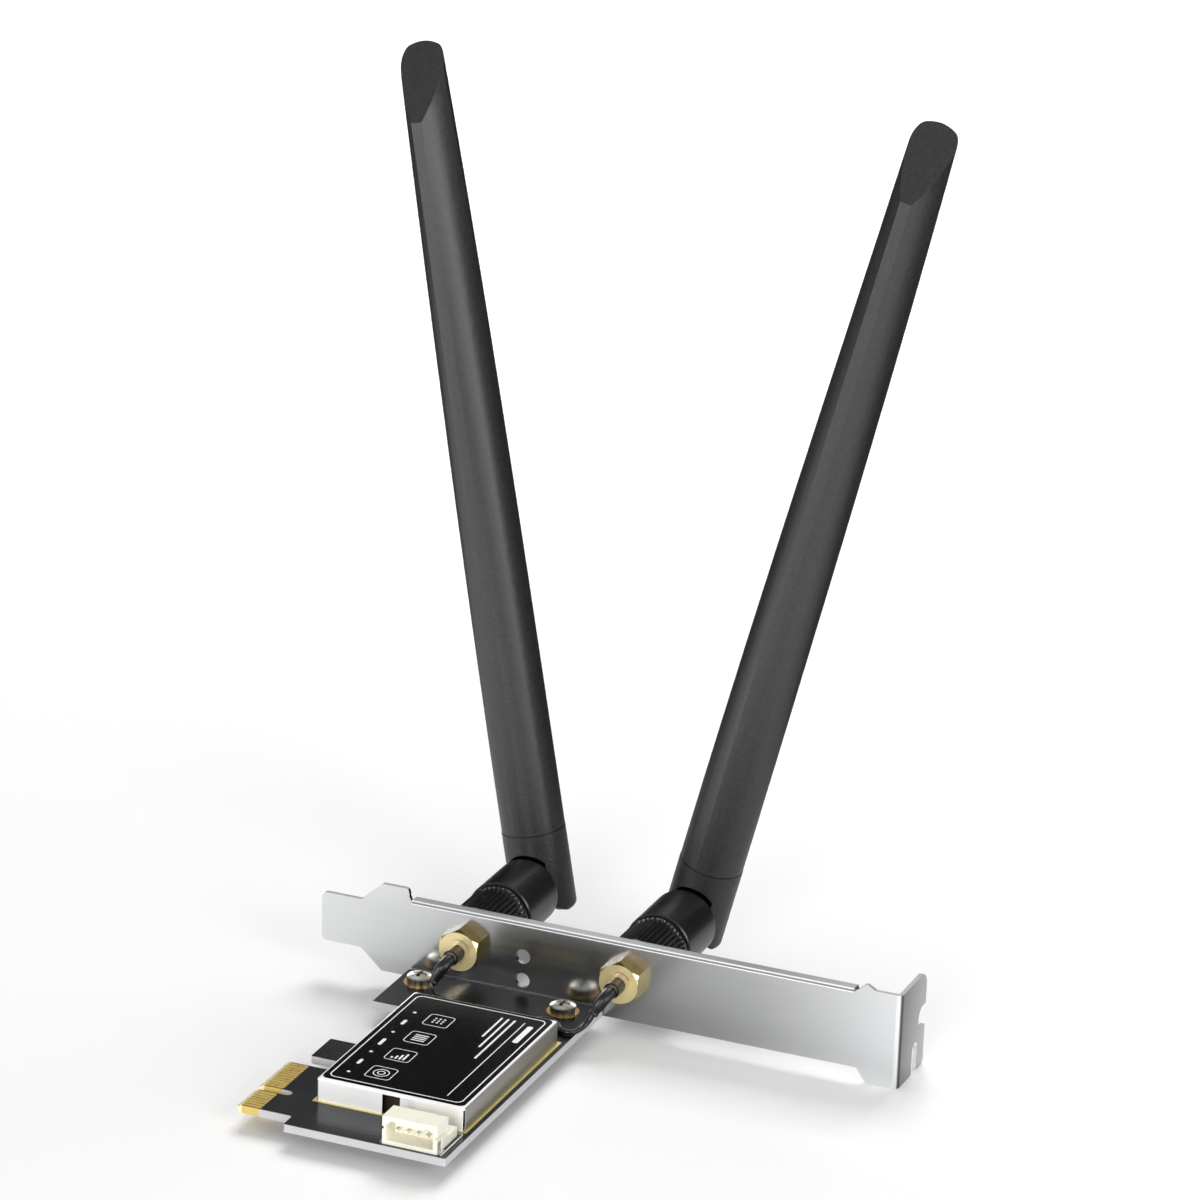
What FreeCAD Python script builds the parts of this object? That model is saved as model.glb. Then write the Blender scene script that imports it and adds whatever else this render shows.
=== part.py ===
import FreeCAD, Part
import math
import os

V = FreeCAD.Vector
os.makedirs("parts", exist_ok=True)

# Frame, in millimetres: origin on the centreline of the key notch, at the tips of the
# edge contacts and in the middle of the board's thickness. +X runs along the bracket from
# its tongue to its screw tab, +Y from the board out through the bracket, +Z up from the
# component side of the board.

# Circuit board
board_thickness = 1.57
board_left = 11.4
board_right = 44.05
board_front = -12.3
board_gap = 0.4
board_corner = 0.3
ear_left = 2.9
ear_depth = 16.9
hook_left = 3.15
hook_front = 16.7
hook_back = 25.4
corner_relief = 0.6
key_width = 1.9
key_depth = 7.2
long_edge = 11.65
short_edge = 7.65
edge_corner = 0.5
edge_bevel = 0.95
edge_bevel_depth = 0.45
contact_pitch = 1.0
contact_width = 0.7
contact_length = 3.9
contact_thickness = 0.05
long_contacts = 11
short_contacts = 7

# Bracket, one folded sheet; its places run from the tip of the tongue and its lower edge
sheet = 0.86
fold_radius = 0.3
bracket_y = 61.9
bracket_width = 18.42
bracket_below_board = 0.1
tongue_reach = 16.25
tongue_width = 10.19
tongue_corner = 1.2
neck_length = 8.48
shoulder_length = 13.06
shoulder_end = 18.45
shoulder_slope = 0.6
bracket_corner = 0.6
relief_radius = 0.8
relief_from_tip = 19.5
relief_height = 17.05
lip_start = 20.15
lip_end = 111.9
lip_height = 17.15
lip_reach = 2.1
crest_rise = 0.4
crest_run = 1.8
tab_face = 120.02
tab_height = 16.45
tab_drop = 2.9
tab_reach = 14.0
tab_upper_corner = 3.0
tab_lower_corner = 1.0
flare_start = 112.4
flare_run = 3.3
screw_slot_height = 7.4
screw_slot_width = 4.4
screw_slot_depth = 3.8
guide_slot_from_edge = 5.15
guide_slot_width = 2.9
guide_slot_top = 3.4
lamp_hole_radius = 1.5
lamp_hole_from_tip = 43.1
lamp_hole_heights = (4.0, 9.0)

# Lugs under the board, and the screws that hold the board on them
lug_width = 8.0
lug_length = 9.4
lug_collar_radius = 2.1
lug_collar_height = 0.9
screw_radius = 1.25
screw_clearance = 0.2
thread_clearance = 0.03
screw_length = 4.4
screw_head_radius = 2.55
screw_head_rim = 1.2
screw_head_dome = 0.7
recess_width = 0.75
recess_span = 3.0
recess_depth = 1.2
pad_radius = 3.2
pad_thickness = 0.12
left_screw_from_tip = 23.6
right_screw_from_tip = 53.85
screw_from_bracket = 5.0

# Shield can, its label and the plated strip round its foot
can_inset = 1.05
can_width = 30.1
can_length = 43.4
can_height = 4.7
can_sheet = 0.2
can_bend = 0.5
can_front = -0.4
can_seam = 0.45
can_foot_gap = 0.05
window_from_left = 13.4
window_width = 3.6
window_below_top = 0.6
cable_gate_width = 2.4
cable_gate_height = 2.2
label_inset = 0.6
label_thickness = 0.08
label_corner = 1.2
strip_outside = 0.55
strip_left_outside = 0.6
strip_inside = 0.5
strip_thickness = 0.05

# Radio module inside the can
module_width = 22.0
module_end_room = 6.3
module_thickness = 0.8
module_height = 1.5
module_card_inset = 1.0
module_card_length = 4.0
module_shield_height = 1.4
module_shield_margin = 0.8
module_shield_from_edge = 4.6
module_shield_from_end = 5.9
module_notch_radius = 1.75
socket_from_can = 2.0
socket_length = 8.7
socket_height = 3.2
socket_overlap = 3.6
socket_cheek = 0.9
socket_shelf = 2.4
socket_slot_gap = 0.3
socket_slot_clearance = 0.05
socket_pitch = 0.5
socket_contacts = 33
socket_contact_width = 0.2
socket_contact_thickness = 0.15
socket_contact_foot = 0.9
socket_contact_height = 2.8
standoff_radius = 2.3
module_screw_radius = 0.95
module_screw_tip_gap = 0.2
module_screw_head_radius = 2.2
module_screw_head_height = 0.8
module_recess_span = 2.4
module_recess_width = 0.4
module_recess_depth = 0.4
receptacle_size = 2.0
receptacle_base = 0.2
receptacle_height = 0.6
receptacle_post_radius = 0.5
receptacle_spacing = 13.2
receptacle_from_end = 3.6
coax_plug_radius = 1.3
coax_plug_height = 0.9
coax_plug_neck = 1.8
coax_plug_neck_height = 1.0
capacitor_count = 6
capacitor_pitch = 1.6
capacitor_length = 1.0
capacitor_width = 0.5
capacitor_from_can = 1.2
capacitor_start = 5.5

# Four-pin header with its mouth towards the front
header_centre_x = 36.5
header_width = 11.0
header_top_depth = 4.9
header_depth = 9.0
header_height = 5.6
header_step = 1.9
header_front_gap = 0.8
header_side_wall = 0.8
header_floor = 0.8
header_roof = 1.4
header_back_wall = 0.9
header_groove_low = 2.9
header_groove_height = 0.6
header_groove_depth = 0.35
header_slot_width = 0.25
header_slot_depth = 0.15
header_slot_length = 2.3
header_slot_spacing = 7.6
header_key_width = 1.2
header_key_spacing = 7.0
header_key_height = 0.5
header_key_length = 1.6
header_pin_pitch = 2.0
header_pin_count = 4
header_pin_size = 0.5
header_pin_height = 2.75
header_pin_recess = 1.0
header_pin_tail = 1.0
header_lug_thickness = 0.25
header_lug_length = 1.9
header_lug_start = 0.3
header_lug_height = 2.4
header_lug_foot = 0.9

# Threaded jacks in the bracket
jack_from_tip = 30.7
jack_spacing = 33.75
jack_height = 8.8
jack_radius = 3.175
jack_hole_clearance = 0.1
jack_reach = 11.4
jack_end_chamfer = 0.4
jack_bore_radius = 2.35
jack_bore_depth = 9.0
hex_across = 8.0
hex_thickness = 3.3
hex_chamfer = 0.6
boss_radius = 2.55
boss_height = 0.25
crimp_post_radius = 1.15
crimp_post_length = 2.75
insulator_radius = 2.0
insulator_from_hex = 0.5
jack_pin_radius = 0.46
jack_pin_reach = 8.0
jack_pin_point = 0.4
washer_thickness = 0.6
washer_radius = 4.7
washer_teeth = 10
washer_notch_width = 0.7
washer_notch_depth = 0.7
nut_thickness = 2.0
ferrule_radius = 1.6
ferrule_length = 3.1
sleeve_radius = 1.2

# Coax leads from the jacks to the radio module
coax_radius = 0.565
coax_bore_clearance = 0.03
coax_start_depth = 0.3
coax_lift = 0.05

# Coupling nut and the plug inside it
running_gap = 0.05
bearing_gap = 0.1
coupling_radius = 6.5
coupling_start = 3.9
coupling_end = 16.4
coupling_insert_radius = 4.7
coupling_insert_length = 10.3
coupling_insert_recess = 0.3
coupling_lip = 1.3
coupling_collar = 1.0
coupling_front_band = 0.6
coupling_front_step = 0.05
rib_count = 42
rib_depth = 0.35
plug_wall = 0.55
plug_end_gap = 0.4
plug_inset = 0.2
plug_shoulder_radius = 2.9
plug_shoulder_length = 1.2
plug_shoulder_gap = 0.3
plug_socket_depth = 5.4
plug_contact_radius = 0.64
plug_contact_overlap = 1.6

# Swivel and hinge
swivel_radius = 6.8
swivel_start = 16.7
swivel_edge = 0.8
swivel_front_chamfer = 0.25
hinge_distance = 37.4
fork_reach = 6.2
fork_gap = 0.3
knuckle_half_width = 3.75
knuckle_radius = 4.3
knuckle_side_gap = 0.15
knuckle_end_gap = 0.3
hinge_pin_radius = 1.25
hinge_pin_length = 10.6
feed_bore_radius = 0.8
feed_bore_wall = 0.6

# Antennas, with heights above the hinge
left_tilt = -10.7
right_tilt = 13.8
base_radius = 6.45
base_top = 10.9
base_corner = 1.1
slot_side_height = 5.2
slot_arch_height = 7.2
spigot_radius = 4.6
spigot_length = 6.0
spigot_gap = 0.05
seam_gap = 0.12
sheath_radius = 6.4
sheath_top = 170.4
sheath_sections = 6
sheath_tip_cut = 13.5
sheath_tip_scale = 0.7
sheath_taper_power = 2.4
sheath_facet_power = 1.3
ridge_half_width = 1.5
ridge_front = 5.75
flank_half_width = 6.3
flank_back = 2.2
flank_bulge = 0.3
back_half_width = 4.2
back_depth = 6.4
back_bulge = 0.55
cavity_low_radius = 3.3
cavity_high_radius = 2.2
cavity_top = 150.0
cavity_shoulder = 2.0
lead_radius = 0.7
lead_end = 42.0
element_tube_radius = 1.7
element_tube_start = 30.0
element_tube_end = 56.0
element_rod_radius = 0.6
element_end = 146.0

# Places that follow from the sizes above
board_top = board_thickness / 2
board_under = -board_thickness / 2
board_back = bracket_y - board_gap
tip_x = -tongue_reach
low_z = board_under - bracket_below_board
outer_y = bracket_y + sheet
bend = fold_radius + sheet
can_left = board_left + can_inset
can_right = can_left + can_width
can_back = can_front + can_length
can_top = board_top + can_height
screw_y = bracket_y - screw_from_bracket
screw_places = (tip_x + left_screw_from_tip, tip_x + right_screw_from_tip)
module_x = (can_left + can_right) / 2
socket_front = can_front + socket_from_can
module_front = socket_front + socket_length - socket_overlap
module_end = can_back - module_end_room
module_low = board_top + module_height
module_top = module_low + module_thickness
receptacle_y = module_end - receptacle_from_end
receptacle_places = (module_x - receptacle_spacing / 2, module_x + receptacle_spacing / 2)
header_front = board_front + header_front_gap
header_left = header_centre_x - header_width / 2
header_right = header_centre_x + header_width / 2
jack_z = low_z + jack_height
left_jack_x = tip_x + jack_from_tip
right_jack_x = left_jack_x + jack_spacing
jack_end = bracket_y + jack_reach
jack_floor = jack_end - jack_bore_depth
hex_back = bracket_y - hex_thickness
boss_back = hex_back - boss_height
post_back = boss_back - crimp_post_length
ferrule_back = boss_back - ferrule_length
plug_radius = jack_bore_radius - running_gap
bearing_radius = plug_radius + bearing_gap
swivel_front = bracket_y + swivel_start
hinge_y = bracket_y + hinge_distance
shoulder_y = hinge_y - max(fork_reach, base_radius) - fork_gap


def box(x0, x1, y0, y1, z0, z1):
    return Part.makeBox(x1 - x0, y1 - y0, z1 - z0, V(x0, y0, z0))


def rod(radius, start, end):
    along = end - start
    return Part.makeCylinder(radius, along.Length, start, along)


def rod_y(radius, x, y0, y1):
    return rod(radius, V(x, y0, jack_z), V(x, y1, jack_z))


def rod_z(radius, x, y, z0, z1):
    return rod(radius, V(x, y, z0), V(x, y, z1))


def fused(shapes):
    result = shapes[0]
    for shape in shapes[1:]:
        result = result.fuse(shape)
    return result.removeSplitter()


def cut_by(shape, tools):
    for tool in tools:
        shape = shape.cut(tool)
    return shape


# Closed wire through the points, with each corner rounded by its radius; 0 keeps it sharp
def rounded_wire(points, radii):
    count = len(points)
    corners = []
    for i, corner in enumerate(points):
        before = (points[i - 1] - corner).normalize()
        after = (points[(i + 1) % count] - corner).normalize()
        half = before.getAngle(after) / 2
        reach = radii[i] / math.tan(half)
        inward = (before + after).normalize()
        middle = corner + inward * (radii[i] / math.sin(half) - radii[i])
        corners.append((corner + before * reach, middle, corner + after * reach))
    edges = []
    for i, (start, middle, end) in enumerate(corners):
        if radii[i] > 0:
            edges.append(Part.Arc(start, middle, end).toShape())
        following = corners[(i + 1) % count][0]
        if (following - end).Length > 1e-6:
            edges.append(Part.LineSegment(end, following).toShape())
    return Part.Wire(edges)


def plate(points, radii, direction):
    return Part.Face(rounded_wire(points, radii)).extrude(direction)


def prism(points, direction):
    return Part.Face(Part.makePolygon(points + [points[0]])).extrude(direction)


def hexagon(x, y, length):
    corner = hex_across / math.sqrt(3)
    points = []
    for i in range(6):
        angle = math.radians(60 * i)
        points.append(V(x + corner * math.sin(angle), y, jack_z + corner * math.cos(angle)))
    return prism(points, V(0, length, 0))


# Two slots crossed on a screw's head
def cross_recess(x, y, top, span, width, depth):
    slots = []
    for half_x, half_y in ((span / 2, width / 2), (width / 2, span / 2)):
        slots.append(box(x - half_x, x + half_x, y - half_y, y + half_y, top - depth, top + 1))
    return slots


def save(name, shape):
    shape.exportStep("parts/" + name + ".step")


# Circuit board with its edge connector, hook and ear
def make_board():
    half_key = key_width / 2
    long_end = half_key + long_edge
    short_end = -(half_key + short_edge)
    corners = [
        (board_left, board_front, board_corner),
        (board_right, board_front, board_corner),
        (board_right, board_back, board_corner),
        (ear_left, board_back, board_corner),
        (ear_left, board_back - ear_depth, board_corner),
        (board_left, board_back - ear_depth, corner_relief),
        (board_left, hook_back, corner_relief),
        (hook_left, hook_back, board_corner),
        (hook_left, hook_front, board_corner),
        (board_left, hook_front, corner_relief),
        (board_left, long_end, corner_relief),
        (0, long_end, edge_corner),
        (0, short_end, edge_corner),
        (board_left, short_end, corner_relief),
    ]
    points = [V(x, y, board_under) for x, y, radius in corners]
    board = plate(points, [radius for x, y, radius in corners], V(0, 0, board_thickness))
    key_centre = key_depth - half_key
    cuts = [
        box(-1, key_centre, -half_key, half_key, board_under - 1, board_top + 1),
        rod_z(half_key, key_centre, 0, board_under - 1, board_top + 1),
    ]
    for side in (1, -1):
        surface = side * board_thickness / 2
        start = short_end - 1
        bevel = [
            V(-1, start, surface + side),
            V(-1, start, surface - side * edge_bevel_depth),
            V(0, start, surface - side * edge_bevel_depth),
            V(edge_bevel, start, surface),
            V(edge_bevel, start, surface + side),
        ]
        cuts.append(prism(bevel, V(0, long_end - short_end + 2, 0)))
    for x in screw_places:
        cuts.append(rod_z(screw_radius + screw_clearance, x, screw_y, board_under - 1, board_top + 1))
    return cut_by(board, cuts)


def contact_centres():
    half_key = key_width / 2
    long_margin = (long_edge - (long_contacts - 1) * contact_pitch) / 2
    short_margin = (short_edge - (short_contacts - 1) * contact_pitch) / 2
    centres = [half_key + long_margin + i * contact_pitch for i in range(long_contacts)]
    centres += [-half_key - short_margin - i * contact_pitch for i in range(short_contacts)]
    return centres


def make_contacts(low):
    half = contact_width / 2
    high = low + contact_thickness
    end = edge_bevel + contact_length
    return Part.Compound([box(edge_bevel, end, y - half, y + half, low, high) for y in contact_centres()])


# L-shaped section of folded sheet: corner is the outer corner, arms are the two outer arm ends
def folded_section(corner, arm_a, arm_b):
    along_a = (arm_a - corner).normalize()
    along_b = (arm_b - corner).normalize()
    points = [
        arm_a,
        corner,
        arm_b,
        arm_b + along_a * sheet,
        corner + (along_a + along_b) * sheet,
        arm_a + along_b * sheet,
    ]
    return Part.Face(rounded_wire(points, [0, bend, 0, 0, fold_radius, 0]))


# Bracket
def make_bracket():
    tongue_low = low_z + (bracket_width - tongue_width) / 2
    tongue_high = tongue_low + tongue_width
    top = low_z + bracket_width
    lip_top = low_z + lip_height
    tab_outer = tip_x + tab_face + sheet
    tab_low = low_z - tab_drop
    tab_high = low_z + tab_height
    panel_end = tab_outer - bend
    panel_top = lip_top - bend
    lip_from = tip_x + lip_start
    lip_to = tip_x + lip_end
    flare = tip_x + flare_start
    corners = [
        (tip_x, tongue_low, tongue_corner),
        (tip_x + neck_length, tongue_low, bracket_corner),
        (tip_x + shoulder_length, low_z, bracket_corner),
        (flare, low_z, bracket_corner),
        (flare + flare_run / 2, tab_low + tab_drop * 0.15, bracket_corner),
        (flare + flare_run, tab_low, bracket_corner),
        (panel_end, tab_low, 0),
        (panel_end, tab_high, 0),
        (lip_to + 2 * crest_run, tab_high, bracket_corner),
        (lip_to + crest_run, lip_top + crest_rise, bracket_corner),
        (lip_to, panel_top, 0),
        (tip_x + shoulder_end + shoulder_slope, panel_top, 0),
        (tip_x + shoulder_end, top, bracket_corner),
        (tip_x + shoulder_length, top, bracket_corner),
        (tip_x + neck_length, tongue_high, bracket_corner),
        (tip_x, tongue_high, tongue_corner),
    ]
    points = [V(x, bracket_y, z) for x, z, radius in corners]
    panel = plate(points, [radius for x, z, radius in corners], V(0, sheet, 0))

    # Stiffening lip, folded towards the board
    lip_corner = V(lip_from, outer_y, lip_top)
    lip_section = folded_section(lip_corner, V(lip_from, outer_y, panel_top - 1), V(lip_from, bracket_y - lip_reach, lip_top))
    lip = lip_section.extrude(V(lip_to - lip_from, 0, 0))

    # Screw tab, folded away from the board
    tab_edge = bracket_y + tab_reach
    tab_corner = V(tab_outer, bracket_y, tab_low)
    tab_section = folded_section(tab_corner, V(panel_end - 1, bracket_y, tab_low), V(tab_outer, tab_edge, tab_low))
    tab = tab_section.extrude(V(0, 0, tab_high - tab_low))
    inside = panel_end - 2
    rounded = [
        V(inside, bracket_y - 1, tab_low),
        V(inside, tab_edge, tab_low),
        V(inside, tab_edge, tab_high),
        V(inside, bracket_y - 1, tab_high),
    ]
    tab = tab.common(plate(rounded, [0, tab_lower_corner, tab_upper_corner, 0], V(10, 0, 0)))
    slot_z = low_z + screw_slot_height
    slot_half = screw_slot_width / 2
    slot_y = tab_edge - screw_slot_depth + slot_half
    guide_half = guide_slot_width / 2
    guide_y = tab_edge - guide_slot_from_edge
    guide_z = low_z + guide_slot_top - guide_half
    tab = cut_by(tab, [
        rod(slot_half, V(panel_end, slot_y, slot_z), V(tab_outer + 1, slot_y, slot_z)),
        box(panel_end, tab_outer + 1, slot_y, tab_edge + 1, slot_z - slot_half, slot_z + slot_half),
        rod(guide_half, V(panel_end, guide_y, guide_z), V(tab_outer + 1, guide_y, guide_z)),
        box(panel_end, tab_outer + 1, guide_y - guide_half, guide_y + guide_half, tab_low - 1, guide_z),
    ])

    # Lugs folded under the board, each with a drawn collar
    lugs = []
    lug_low = board_under - sheet
    for x in screw_places:
        start = x - lug_width / 2
        lug_corner = V(start, outer_y, lug_low)
        section = folded_section(lug_corner, V(start, outer_y, low_z + 1), V(start, bracket_y - lug_length, lug_low))
        lugs.append(section.extrude(V(lug_width, 0, 0)))
        lugs.append(rod_z(lug_collar_radius, x, screw_y, lug_low - lug_collar_height, board_under))

    cuts = [rod(
        relief_radius,
        V(tip_x + relief_from_tip, bracket_y - 1, low_z + relief_height),
        V(tip_x + relief_from_tip, outer_y + 1, low_z + relief_height),
    )]
    for x in screw_places:
        tapped = screw_radius + thread_clearance
        cuts.append(rod_z(tapped, x, screw_y, lug_low - lug_collar_height - 1, board_under + 1))
    for height in lamp_hole_heights:
        lamp = V(tip_x + lamp_hole_from_tip, bracket_y - 1, low_z + height)
        cuts.append(rod(lamp_hole_radius, lamp, lamp + V(0, sheet + 2, 0)))
    for x in (left_jack_x, right_jack_x):
        cuts.append(rod_y(jack_radius + jack_hole_clearance, x, bracket_y - 1, outer_y + 1))
    return cut_by(fused([panel, lip, tab] + lugs), cuts)


# Pan-head screws with a cross recess, and the plated rings under them
def make_bracket_screws():
    seat = board_top + pad_thickness
    rim = seat + screw_head_rim
    top = rim + screw_head_dome
    ball = (screw_head_radius ** 2 + screw_head_dome ** 2) / (2 * screw_head_dome)
    screws = []
    for x in screw_places:
        head = rod_z(screw_head_radius, x, screw_y, seat, top)
        head = head.common(Part.makeSphere(ball, V(x, screw_y, top - ball)))
        shank = rod_z(screw_radius, x, screw_y, seat - screw_length, rim)
        recess = cross_recess(x, screw_y, top, recess_span, recess_width, recess_depth)
        screws.append(cut_by(fused([head, shank]), recess))
    return Part.Compound(screws)


def make_screw_pads():
    pads = []
    for x in screw_places:
        ring = rod_z(pad_radius, x, screw_y, board_top, board_top + pad_thickness)
        pads.append(ring.cut(rod_z(screw_radius + screw_clearance, x, screw_y, board_top, board_top + 1)))
    return Part.Compound(pads)


# Shield can: a drawn lid whose four skirts are open at the corners
def make_can():
    base = board_top + can_foot_gap
    blank = box(can_left, can_right, can_front, can_back, base, can_top)
    bent = [edge for edge in blank.Edges if edge.BoundBox.ZMax > can_top - 0.01]
    outer = blank.makeFillet(can_bend, bent)
    inner = box(
        can_left + can_sheet, can_right - can_sheet, can_front + can_sheet, can_back - can_sheet,
        base - 1, can_top - can_sheet,
    )
    inner_top = [edge for edge in inner.Edges if edge.BoundBox.ZMin > can_top - can_sheet - 0.01]
    can = outer.cut(inner.makeFillet(can_bend - can_sheet, inner_top))
    cuts = []
    for x in (can_left, can_right):
        for y in (can_front, can_back):
            half = can_seam / 2
            slit = box(-half, half, -1.5, 1.5, base - 1, can_top - can_bend)
            slit.rotate(V(0, 0, 0), V(0, 0, 1), -45 if (x == can_left) == (y == can_front) else 45)
            slit.translate(V(x, y, 0))
            cuts.append(slit)
    window = can_left + window_from_left
    cuts.append(box(window, window + window_width, can_front - 1, can_front + 1, base - 1, can_top - window_below_top))
    for x in receptacle_places:
        half = cable_gate_width / 2
        cuts.append(box(x - half, x + half, can_back - 1, can_back + 1, base - 1, board_top + cable_gate_height))
    return cut_by(can, cuts)


def make_label():
    left = can_left + label_inset
    right = can_right - label_inset
    front = can_front + label_inset
    back = can_back - label_inset
    points = [V(left, front, can_top), V(right, front, can_top), V(right, back, can_top), V(left, back, can_top)]
    return plate(points, [label_corner] * 4, V(0, 0, label_thickness))


def make_ground_strip():
    high = board_top + strip_thickness
    outer = box(
        can_left - strip_left_outside, can_right + strip_outside,
        can_front - strip_outside, can_back + strip_outside, board_top, high,
    )
    return outer.cut(box(
        can_left + strip_inside, can_right - strip_inside,
        can_front + strip_inside, can_back - strip_inside, board_top, high,
    ))


# Socket for the radio module, with its row of contacts
def make_socket():
    half = module_width / 2
    back = socket_front + socket_length
    body = box(module_x - half, module_x + half, socket_front, back, board_top, board_top + socket_height)
    slot_low = module_low - socket_slot_clearance
    slot_high = module_top + socket_slot_clearance
    slot_half = half - socket_cheek
    slot = box(module_x - slot_half, module_x + slot_half, module_front - socket_slot_gap, back + 1, slot_low, slot_high)
    shelf = box(module_x - half - 1, module_x + half + 1, back - socket_shelf, back + 1, slot_low, board_top + socket_height + 1)
    return cut_by(body, [slot, shelf])


def make_socket_contacts():
    half = socket_contact_width / 2
    low = board_top + strip_thickness
    shin = low + socket_contact_thickness
    contacts = []
    for i in range(socket_contacts):
        x = module_x + (i - (socket_contacts - 1) / 2) * socket_pitch
        foot = box(x - half, x + half, socket_front - socket_contact_foot, socket_front, low, shin)
        riser = box(
            x - half, x + half, socket_front - socket_contact_thickness, socket_front,
            low, board_top + socket_contact_height,
        )
        contacts.append(fused([foot, riser]))
    return Part.Compound(contacts)


def make_module_board():
    half = module_width / 2
    card_half = half - module_card_inset
    card = box(module_x - card_half, module_x + card_half, module_front, module_end, module_low, module_top)
    body = box(module_x - half, module_x + half, module_front + module_card_length, module_end, module_low, module_top)
    notch = rod_z(module_notch_radius, module_x, module_end, module_low - 1, module_top + 1)
    return fused([card, body]).cut(notch)


def make_module_shield():
    half = module_width / 2 - module_shield_margin
    front = module_front + module_shield_from_edge
    back = module_end - module_shield_from_end
    high = module_top + module_shield_height
    outer = box(module_x - half, module_x + half, front, back, module_top, high)
    inner_half = half - can_sheet
    return outer.cut(box(
        module_x - inner_half, module_x + inner_half, front + can_sheet, back - can_sheet,
        module_top, high - can_sheet,
    ))


def make_standoff():
    post = rod_z(standoff_radius, module_x, module_end, board_top, module_low)
    return post.cut(rod_z(module_screw_radius + thread_clearance, module_x, module_end, board_top, module_low))


def make_module_screw():
    top = module_top + module_screw_head_height
    shank = rod_z(module_screw_radius, module_x, module_end, board_top + module_screw_tip_gap, module_top)
    head = rod_z(module_screw_head_radius, module_x, module_end, module_top, top)
    recess = cross_recess(module_x, module_end, top, module_recess_span, module_recess_width, module_recess_depth)
    return cut_by(fused([shank, head]), recess)


# Coax receptacles on the module, and the plugs that cap them
def make_receptacles():
    half = receptacle_size / 2
    pieces = []
    for x in receptacle_places:
        base = box(
            x - half, x + half, receptacle_y - half, receptacle_y + half,
            module_top, module_top + receptacle_base,
        )
        post = rod_z(receptacle_post_radius, x, receptacle_y, module_top, module_top + receptacle_height)
        pieces.append(fused([base, post]))
    return Part.Compound(pieces)


def make_coax_plug(x):
    low = module_top + receptacle_base
    top = module_top + receptacle_height + coax_plug_height
    half = coax_plug_neck / 2
    cap = rod_z(coax_plug_radius, x, receptacle_y, low, top)
    neck_end = receptacle_y + coax_plug_radius
    neck = box(x - half, x + half, receptacle_y, neck_end, top - coax_plug_neck_height, top)
    hollow = rod_z(receptacle_post_radius + running_gap, x, receptacle_y, low, module_top + receptacle_height + running_gap)
    return fused([cap, neck]).cut(hollow)


def make_capacitors():
    left = can_left + capacitor_from_can
    half = capacitor_width / 2
    chips = []
    for i in range(capacitor_count):
        y = can_front + capacitor_start + i * capacitor_pitch
        chips.append(box(left, left + capacitor_length, y - half, y + half, board_top, board_top + capacitor_width))
    return Part.Compound(chips)


# Four-pin header: roof and mouth at the front, a low step behind for the pin tails
def make_header():
    roof = board_top + header_height
    upper_back = header_front + header_top_depth
    upper = box(header_left, header_right, header_front, upper_back, board_top, roof)
    step = box(
        header_left, header_right, header_front, header_front + header_depth,
        board_top, board_top + header_step,
    )
    mouth_left = header_left + header_side_wall
    mouth_right = header_right - header_side_wall
    mouth_top = roof - header_roof
    cuts = [box(
        mouth_left, mouth_right, header_front - 1, upper_back - header_back_wall,
        board_top + header_floor, mouth_top,
    )]
    groove = board_top + header_groove_low
    for x in (header_left, header_right):
        cuts.append(box(
            x - header_groove_depth, x + header_groove_depth, header_front - 1, upper_back + 1,
            groove, groove + header_groove_height,
        ))
        cuts.append(box(
            x - header_groove_depth, x + header_groove_depth,
            header_front + header_lug_start, header_front + header_lug_start + header_lug_length,
            board_top - 1, board_top + header_lug_height,
        ))
    for side in (-1, 1):
        x = header_centre_x + side * header_slot_spacing / 2
        half = header_slot_width / 2
        cuts.append(box(x - half, x + half, upper_back - header_slot_length, upper_back + 1, roof - header_slot_depth, roof + 1))
        x = header_centre_x + side * header_key_spacing / 2
        half = header_key_width / 2
        cuts.append(box(
            x - half, x + half, header_front - 1, header_front + header_key_length,
            mouth_top - 1, mouth_top + header_key_height,
        ))
    return cut_by(fused([upper, step]), cuts)


def make_header_pins():
    half = header_pin_size / 2
    z = board_top + header_pin_height
    tail_end = header_front + header_top_depth + header_pin_tail
    pins = []
    for i in range(header_pin_count):
        x = header_centre_x + (i - (header_pin_count - 1) / 2) * header_pin_pitch
        shaft = box(x - half, x + half, header_front + header_pin_recess, tail_end, z - half, z + half)
        tail = box(x - half, x + half, tail_end - header_pin_size, tail_end, board_top + header_step, z)
        pins.append(fused([shaft, tail]))
    return pins


def make_header_lugs():
    front = header_front + header_lug_start
    back = front + header_lug_length
    lugs = []
    for side, edge in ((-1, header_left), (1, header_right)):
        inner = edge - side * header_groove_depth
        outer = inner + side * header_lug_thickness
        toe = inner + side * header_lug_foot
        blade = box(min(inner, outer), max(inner, outer), front, back, board_top, board_top + header_lug_height)
        foot = box(min(inner, toe), max(inner, toe), front, back, board_top, board_top + header_lug_thickness)
        lugs.append(fused([blade, foot]))
    return Part.Compound(lugs)


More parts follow.
